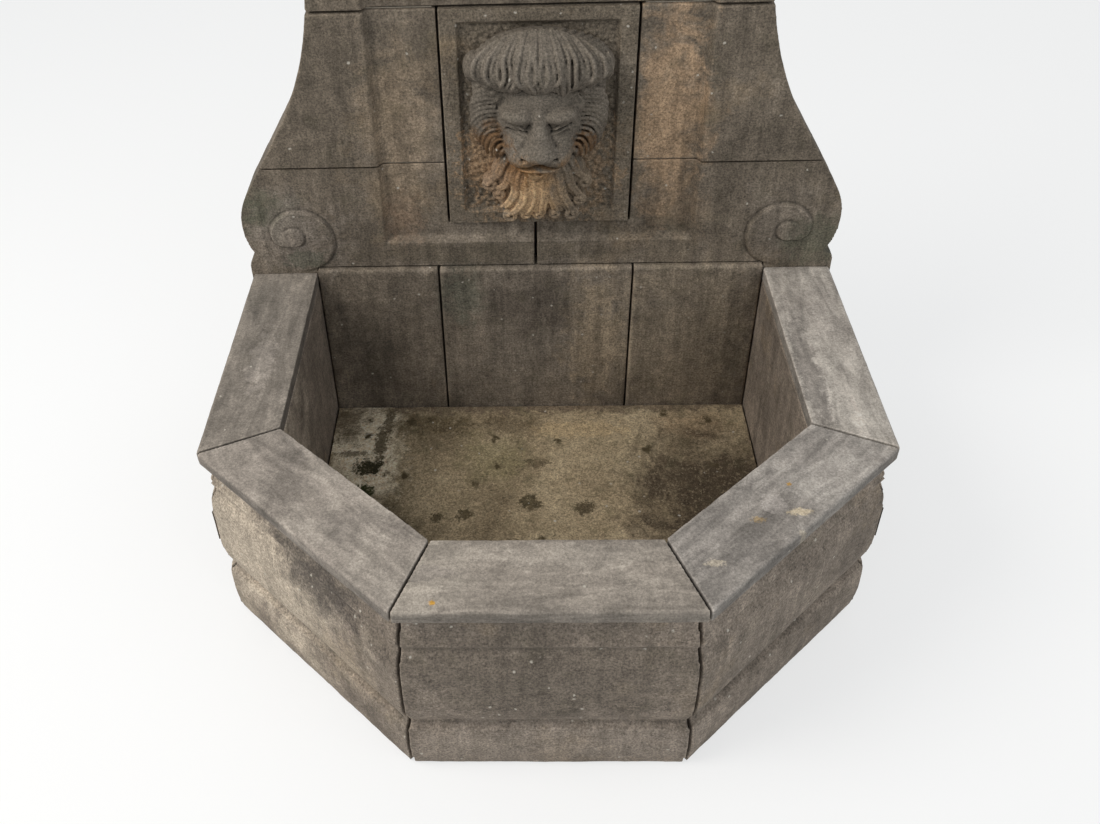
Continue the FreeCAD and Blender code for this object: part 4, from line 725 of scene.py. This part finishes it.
# side manes: fourteen curved locks on each side, which leave the face level and turn down
both(116, 40, 56, 40, 46, 92)
ROOTS = ((101, 116), (103, 106), (105, 95), (106, 84), (107, 73), (107, 62), (106, 51), (105, 40),
         (103, 28), (100, 15), (96, 2), (91, -12), (85, -26), (78, -40))
TAILS = ((149, 98), (155, 80), (158, 62), (159, 45), (158, 28), (156, 11), (152, -5), (147, -20),
         (141, -35), (133, -48), (124, -59), (113, -68), (101, -73), (89, -72))
for side in (-1, 1):
    for (root_x, root_up), (tail_x, tail_up) in zip(ROOTS, TAILS):
        lock([(side * (root_x - 8), root_up - 2, 60),
              (side * between(root_x, tail_x, 0.35), root_up + 3, 66),
              (side * between(root_x, tail_x, 0.8), between(root_up, tail_up, 0.15), 64),
              (side * (tail_x + 1), between(root_up, tail_up, 0.6), 54),
              (side * (tail_x - 1), tail_up - 6, 36)],
             4.6 + 0.9 * (round(root_up) * 7 % 3), root=0.7, end=0.6)
# short hair at the temples, under the forelock
for side in (-1, 1):
    for index in range(4):
        rise = index * 9
        lock([(side * 104, 112 + rise, 58), (side * 124, 118 + rise, 58),
              (side * 144, 112 + rise, 46), (side * 152, 98 + rise, 30)], 6, root=0.7, end=0.6)
# beard: broad wavy locks from the jaw, which end in curls
swelling(0, -150, 54, 84, 56, 90)
swelling(-8, -198, 46, 80, 50, 52)
both(70, -128, 50, 46, 46, 46, lean=-20)
both(84, -150, 40, 36, 40, 30)
both(72, -196, 38, 34, 38, 46, lean=10)
BEARD = (
    [(-62, -60, 46), (-84, -84, 44), (-88, -112, 38), (-104, -132, 32), (-122, -140, 26)],
    [(-50, -80, 48), (-68, -106, 46), (-66, -136, 42), (-84, -156, 36), (-100, -164, 28)],
    [(-40, -90, 50), (-56, -122, 48), (-48, -160, 44), (-64, -196, 38), (-84, -216, 30)],
    [(-26, -96, 50), (-36, -132, 49), (-24, -172, 46), (-42, -212, 40), (-66, -236, 32)],
    [(-10, -98, 50), (-16, -136, 50), (-4, -176, 47), (-18, -214, 40), (-32, -234, 32)],
    [(6, -98, 50), (4, -134, 50), (14, -176, 46), (2, -214, 40), (4, -236, 32)],
    [(22, -96, 50), (28, -130, 48), (24, -166, 45), (40, -204, 38), (46, -228, 30)],
    [(38, -92, 50), (48, -122, 48), (44, -160, 44), (66, -200, 38), (80, -228, 30)],
    [(50, -80, 48), (66, -104, 46), (66, -138, 42), (84, -168, 36), (98, -186, 28)],
    [(62, -60, 46), (80, -84, 44), (84, -110, 38), (98, -128, 32), (112, -134, 26)],
)
# each broad lock carries three strands
for path in BEARD:
    lock(path, 15, root=0.9, end=0.7)
    for aside, forward in ((-10, 8), (0, 12), (10, 8)):
        lock([(x + aside, up, out + forward) for x, up, out in path], 5.6, root=0.8, end=0.7)
swelling(-44, -226, 38, 46, 40, 27)
swelling(48, -224, 38, 54, 40, 27)
swelling(0, -228, 34, 30, 36, 18)
# the beard's locks end in round curls, each wound inward round its middle, to one hand or the other
CURLS = ((-118, -150, 21, -1), (-96, -177, 18, -1), (-70, -241, 21, -1), (-34, -236, 16, 1),
         (0, -238, 15, -1), (40, -236, 16, -1), (80, -238, 21, 1), (99, -196, 18, 1),
         (110, -145, 20, 1))
for x, up, radius, hand in CURLS:
    swelling(x, up, 35, radius, 24, radius * 0.9)
    turns = [index / 9 for index in range(10)]
    lock([(x + hand * radius * (1 - 0.72 * t) * math.cos(math.radians(100 - 480 * t)),
           up + radius * (1 - 0.72 * t) * math.sin(math.radians(100 - 480 * t)),
           34 + 8 * t) for t in turns], 6.5, root=0.8, end=0.9)

mask = join_forms("lion_mask")
even_mesh(mask, MASK_VOXEL)


def carve(mesh, path, width, depth):
    """Presses a soft groove into the face along (x, up) points. All in millimetres."""
    points = [Vector((x / 1000, MASK_HEIGHT + up / 1000)) for x, up in path]
    width, depth = width / 1000, depth / 1000
    low = Vector((min(p.x for p in points) - 2 * width, min(p.y for p in points) - 2 * width))
    high = Vector((max(p.x for p in points) + 2 * width, max(p.y for p in points) + 2 * width))
    for vertex in mesh.vertices:
        x, y, z = vertex.co
        if y > MASK_GROUND - 0.01 or not (low.x < x < high.x and low.y < z < high.y):
            continue
        here = Vector((x, z))
        nearest = 1.0
        for start, end in zip(points, points[1:]):
            along = end - start
            share = max(0, min(1, (here - start).dot(along) / along.length_squared))
            nearest = min(nearest, (here - start - share * along).length)
        vertex.co.y += depth * math.exp(-(nearest / width) ** 2)


# slit eyes, the creases beside the nose, the nostrils, the mouth and the frown
for side in (-1, 1):
    carve(mask.data, [(side * 28, 17), (side * 48, 20 + side), (side * 74, 28 + 5 * side)], 3.0, 7)
    carve(mask.data, [(side * 32, 8), (side * 50, 9), (side * 68, 18)], 3.5, 2.5)
    carve(mask.data, [(side * 22, 34), (side * 30, 24)], 5, 6)
    carve(mask.data, [(side * 34, -43), (side * 40, -44)], 4, 11)
    carve(mask.data, [(side * 41, -12), (side * 46, -34)], 7, 3)
    carve(mask.data, [(side * 22, 34), (side * 29, 4), (side * 38, -16)], 4.5, 4.5 + side)
carve(mask.data, [(-52, -72), (-26, -71), (0, -67), (26, -71), (52, -72)], 3.4, 10)
carve(mask.data, [(0, -50), (0, -64)], 3, 5)
soften = mask.modifiers.new("soften", "SMOOTH")
soften.factor = 0.4
soften.iterations = 2
bpy.ops.object.modifier_apply(modifier="soften")
# the way of the spout, drilled under the lip
bpy.ops.mesh.primitive_cylinder_add(
    vertices=40, radius=SPOUT_WAY, depth=0.3, location=(0, -0.1, SPOUT_HEIGHT),
    rotation=(math.pi / 2, 0, 0))
drill = bpy.context.object
bpy.context.view_layer.objects.active = mask
drilling = mask.modifiers.new("drilling", "BOOLEAN")
drilling.operation = "DIFFERENCE"
drilling.solver = "MANIFOLD"
drilling.object = drill
bpy.ops.object.modifier_apply(modifier="drilling")
bpy.data.objects.remove(drill)
mask.select_set(True)

# the mask's hollows get more painted shade than the other stones, to deepen the carving
mask_finish = weathered_limestone(
    "weathered_limestone_mask", "#675f55", "#7f766b", "#4d453c", "#8c7659", tan_share=0.1,
    moss=0.12, cloud=0.5, streak=0.15, mottle=(40, 0.3), flecks=0.2, pores=0.4, hollow_shade_and_arris_wear=0.45,
    patches=(((-0.02, -0.02, 0.85), (0.07, 0.3, 0.06), "#8d6a44", 0.8),
             ((-0.02, -0.02, 0.775), (0.075, 0.3, 0.08), "#c2a27c", 0.9),
             ((-0.055, -0.02, 0.85), (0.03, 0.3, 0.05), "#7a5530", 0.7),
             ((-0.115, 0, 0.93), (0.045, 0.3, 0.06), "#654728", 0.8),
             ((0.11, 0, 0.925), (0.03, 0.3, 0.05), "#654728", 0.7),
             ((-0.11, 0, 0.82), (0.06, 0.3, 0.06), "#957a60", 0.7),
             ((0.09, 0, 0.8), (0.07, 0.3, 0.1), "#84735f", 0.7)))
thin(mask, MASK_TRIANGLES)
mask.data.materials.clear()
mask.data.materials.append(mask_finish)
bpy.ops.object.shade_smooth()
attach(mask, "root")
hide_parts("lion_panel")

# Lion panel: the same stone as the mask, behind it. Inside its border the ground is punched all
# over with a point, which leaves small studs, and the panel fits closely between the blocks.
PANEL_VOXEL = 0.003
GROUND_HALF, GROUND_LOW, GROUND_HIGH = 0.179, 0.719, 1.211
PUNCHED_HALF, PUNCHED_LOW, PUNCHED_HIGH = 0.178, 0.722, 1.208
STUD_WIDE, STUD_RISE = 0.0115, 0.0075
JOINT_EASE = 1.004
panel_finish = weathered_limestone(
    "weathered_limestone_panel", "#6b6154", "#8a7f71", "#4c453b", "#907b60", tan_share=0.2,
    moss=0.15, streak=0.2, specks=0.08, mottle=(110, 0.9), flecks=0.6, pores=0.8,
    patches=(((0, 0.02, 0.83), (0.19, 0.03, 0.16), "#8d775f", 0.8),
             ((-0.13, 0.02, 0.86), (0.06, 0.03, 0.1), "#9b7f62", 0.7)))
panel = stone_of("lion_panel")
# the plain mask of the CAD panel is pressed flat into the ground
for vertex in panel.data.vertices:
    x, y, z = vertex.co
    if abs(x) < GROUND_HALF and GROUND_LOW < z < GROUND_HIGH and y < MASK_GROUND:
        vertex.co.y = MASK_GROUND
even_mesh(panel, PANEL_VOXEL)
wear(panel, 1, FINE_DRESSING)
for vertex in panel.data.vertices:
    vertex.co.x *= JOINT_EASE
    x, y, z = vertex.co
    on_ground = MASK_GROUND - 0.001 < y < MASK_GROUND + 0.006
    if on_ground and abs(x) < PUNCHED_HALF and PUNCHED_LOW < z < PUNCHED_HIGH:
        apart = noise.voronoi(Vector((x, 0, z)) / STUD_WIDE)[0][0]
        vertex.co.y += STUD_RISE * (apart - 0.4)
finish_stone(panel, "lion_panel", panel_finish, most=160000)

# Mortar: lime mortar, set back from the faces. The level beds are pale; what fills the upright
# joints and the mitres lies deep and has gone dark with soot and silt. It keeps its CAD shape.
def mortar(name, pale, dark):
    """Lime mortar, matt and sandy."""
    material = bpy.data.materials.new(name)
    material.use_nodes = True
    tree = material.node_tree
    shader = tree.nodes["Principled BSDF"]
    shader.inputs["Roughness"].default_value = 0.95
    place = add_node(tree, "ShaderNodeTexCoord").outputs["Object"]
    # sand of 4 mm in the lime
    sand = add_node(tree, "ShaderNodeTexNoise", [(place, "Vector")], Scale=240, Detail=6,
                    Roughness=0.7).outputs["Fac"]
    tree.links.new(ramp(tree, sand, (0.3, linear(dark)), (0.7, linear(pale))),
                   shader.inputs["Base Color"])
    relief = add_node(tree, "ShaderNodeBump", [(sand, "Height")], Strength=0.6, Distance=0.002)
    tree.links.new(relief.outputs[0], shader.inputs["Normal"])
    return material


bed_mortar = mortar("lime_mortar", "#b0a697", "#7c7468")
sooted_mortar = mortar("sooted_lime_mortar", "#3b352d", "#231f1a")
for node, finish in (("mortar_beds", bed_mortar), ("upright_mortar", sooted_mortar),
                     ("wall_corner_mortar", sooted_mortar), ("coping_corner_mortar", sooted_mortar)):
    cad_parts[node].data.materials.clear()
    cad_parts[node].data.materials.append(finish)

# Metal pieces: a copper spout and riser, brass elbow, coupling, clips and drain, and stainless
# cramps and dowels. Their arrises are broken a little, as on drawn and cast pieces.
BROKEN_ARRIS = 0.0004


def aged_metal(name, clean, stained, growth, growth_share, rough, drawn):
    """Metal with a stain over it and a crust where it stays damp."""
    material = bpy.data.materials.new(name)
    material.use_nodes = True
    tree = material.node_tree
    shader = tree.nodes["Principled BSDF"]
    place = add_node(tree, "ShaderNodeTexCoord").outputs["Object"]
    # stain in clouds of 20 mm, crust in spots of 8 mm, and marks of drawing or casting under both
    stain = add_node(tree, "ShaderNodeTexNoise", [(place, "Vector")], Scale=50, Detail=7,
                     Roughness=0.65).outputs["Fac"]
    crust = add_node(tree, "ShaderNodeTexNoise", [(place, "Vector")], Scale=120, Detail=6,
                     Roughness=0.7).outputs["Fac"]
    crust_here = ramp(tree, crust, (0.62 - growth_share, grey(0)), (0.72 - growth_share, grey(1)))
    metal = ramp(tree, stain, (0.35, linear(clean)), (0.65, linear(stained)))
    tree.links.new(blend_in(tree, crust_here, metal, linear(growth)), shader.inputs["Base Color"])
    tree.links.new(ramp(tree, crust_here, (0, grey(1)), (1, grey(0.1))), shader.inputs["Metallic"])
    tree.links.new(ramp(tree, stain, (0.3, grey(rough)), (0.7, grey(rough + 0.2))),
                   shader.inputs["Roughness"])
    lengthwise = add_node(tree, "ShaderNodeMapping", [(place, "Vector")], Scale=drawn).outputs[0]
    marks = add_node(tree, "ShaderNodeTexNoise", [(lengthwise, "Vector")], Scale=600, Detail=2,
                     Roughness=0.5).outputs["Fac"]
    relief = add_node(tree, "ShaderNodeBump", [(marks, "Height")], Strength=0.25, Distance=0.0004)
    tree.links.new(relief.outputs[0], shader.inputs["Normal"])
    return material


# drawn copper gone brown and a little green, cast brass gone dull, and steel that rust has tinged
aged_copper = aged_metal("aged_copper", "#b0724e", "#6a4632", "#5f8a78", 0.05, 0.32, (1, 1, 0.05))
dull_brass = aged_metal("dull_brass", "#b8975a", "#75603a", "#6d7f5f", 0.03, 0.36, (1, 1, 1))
stainless_steel = aged_metal("stainless_steel", "#b9b8b4", "#9b9993", "#8a7a68", -0.04, 0.3,
                             (0.05, 1, 1))
for slot, finish, nodes in (
        ("copper", aged_copper, ("spout_pipe", "riser_pipe")),
        ("brass", dull_brass, ("pipe_elbow", "pipe_coupling", "pipe_clips", "drain_outlet",
                               "drain_grid")),
        ("stainless", stainless_steel, ("wall_cramps", "back_dowels"))):
    for node in nodes:
        piece = stone_of(node)
        piece.name = node + "_piece"
        broken = piece.modifiers.new("broken_arris", "BEVEL")
        broken.width = BROKEN_ARRIS
        broken.segments = 2
        broken.limit_method = "ANGLE"
        broken.angle_limit = math.radians(40)
        bpy.ops.object.modifier_apply(modifier="broken_arris")
        bpy.ops.object.shade_smooth_by_angle(angle=math.radians(35))
        piece.data.materials.append(finish)
        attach(piece, "root")
        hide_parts(node)
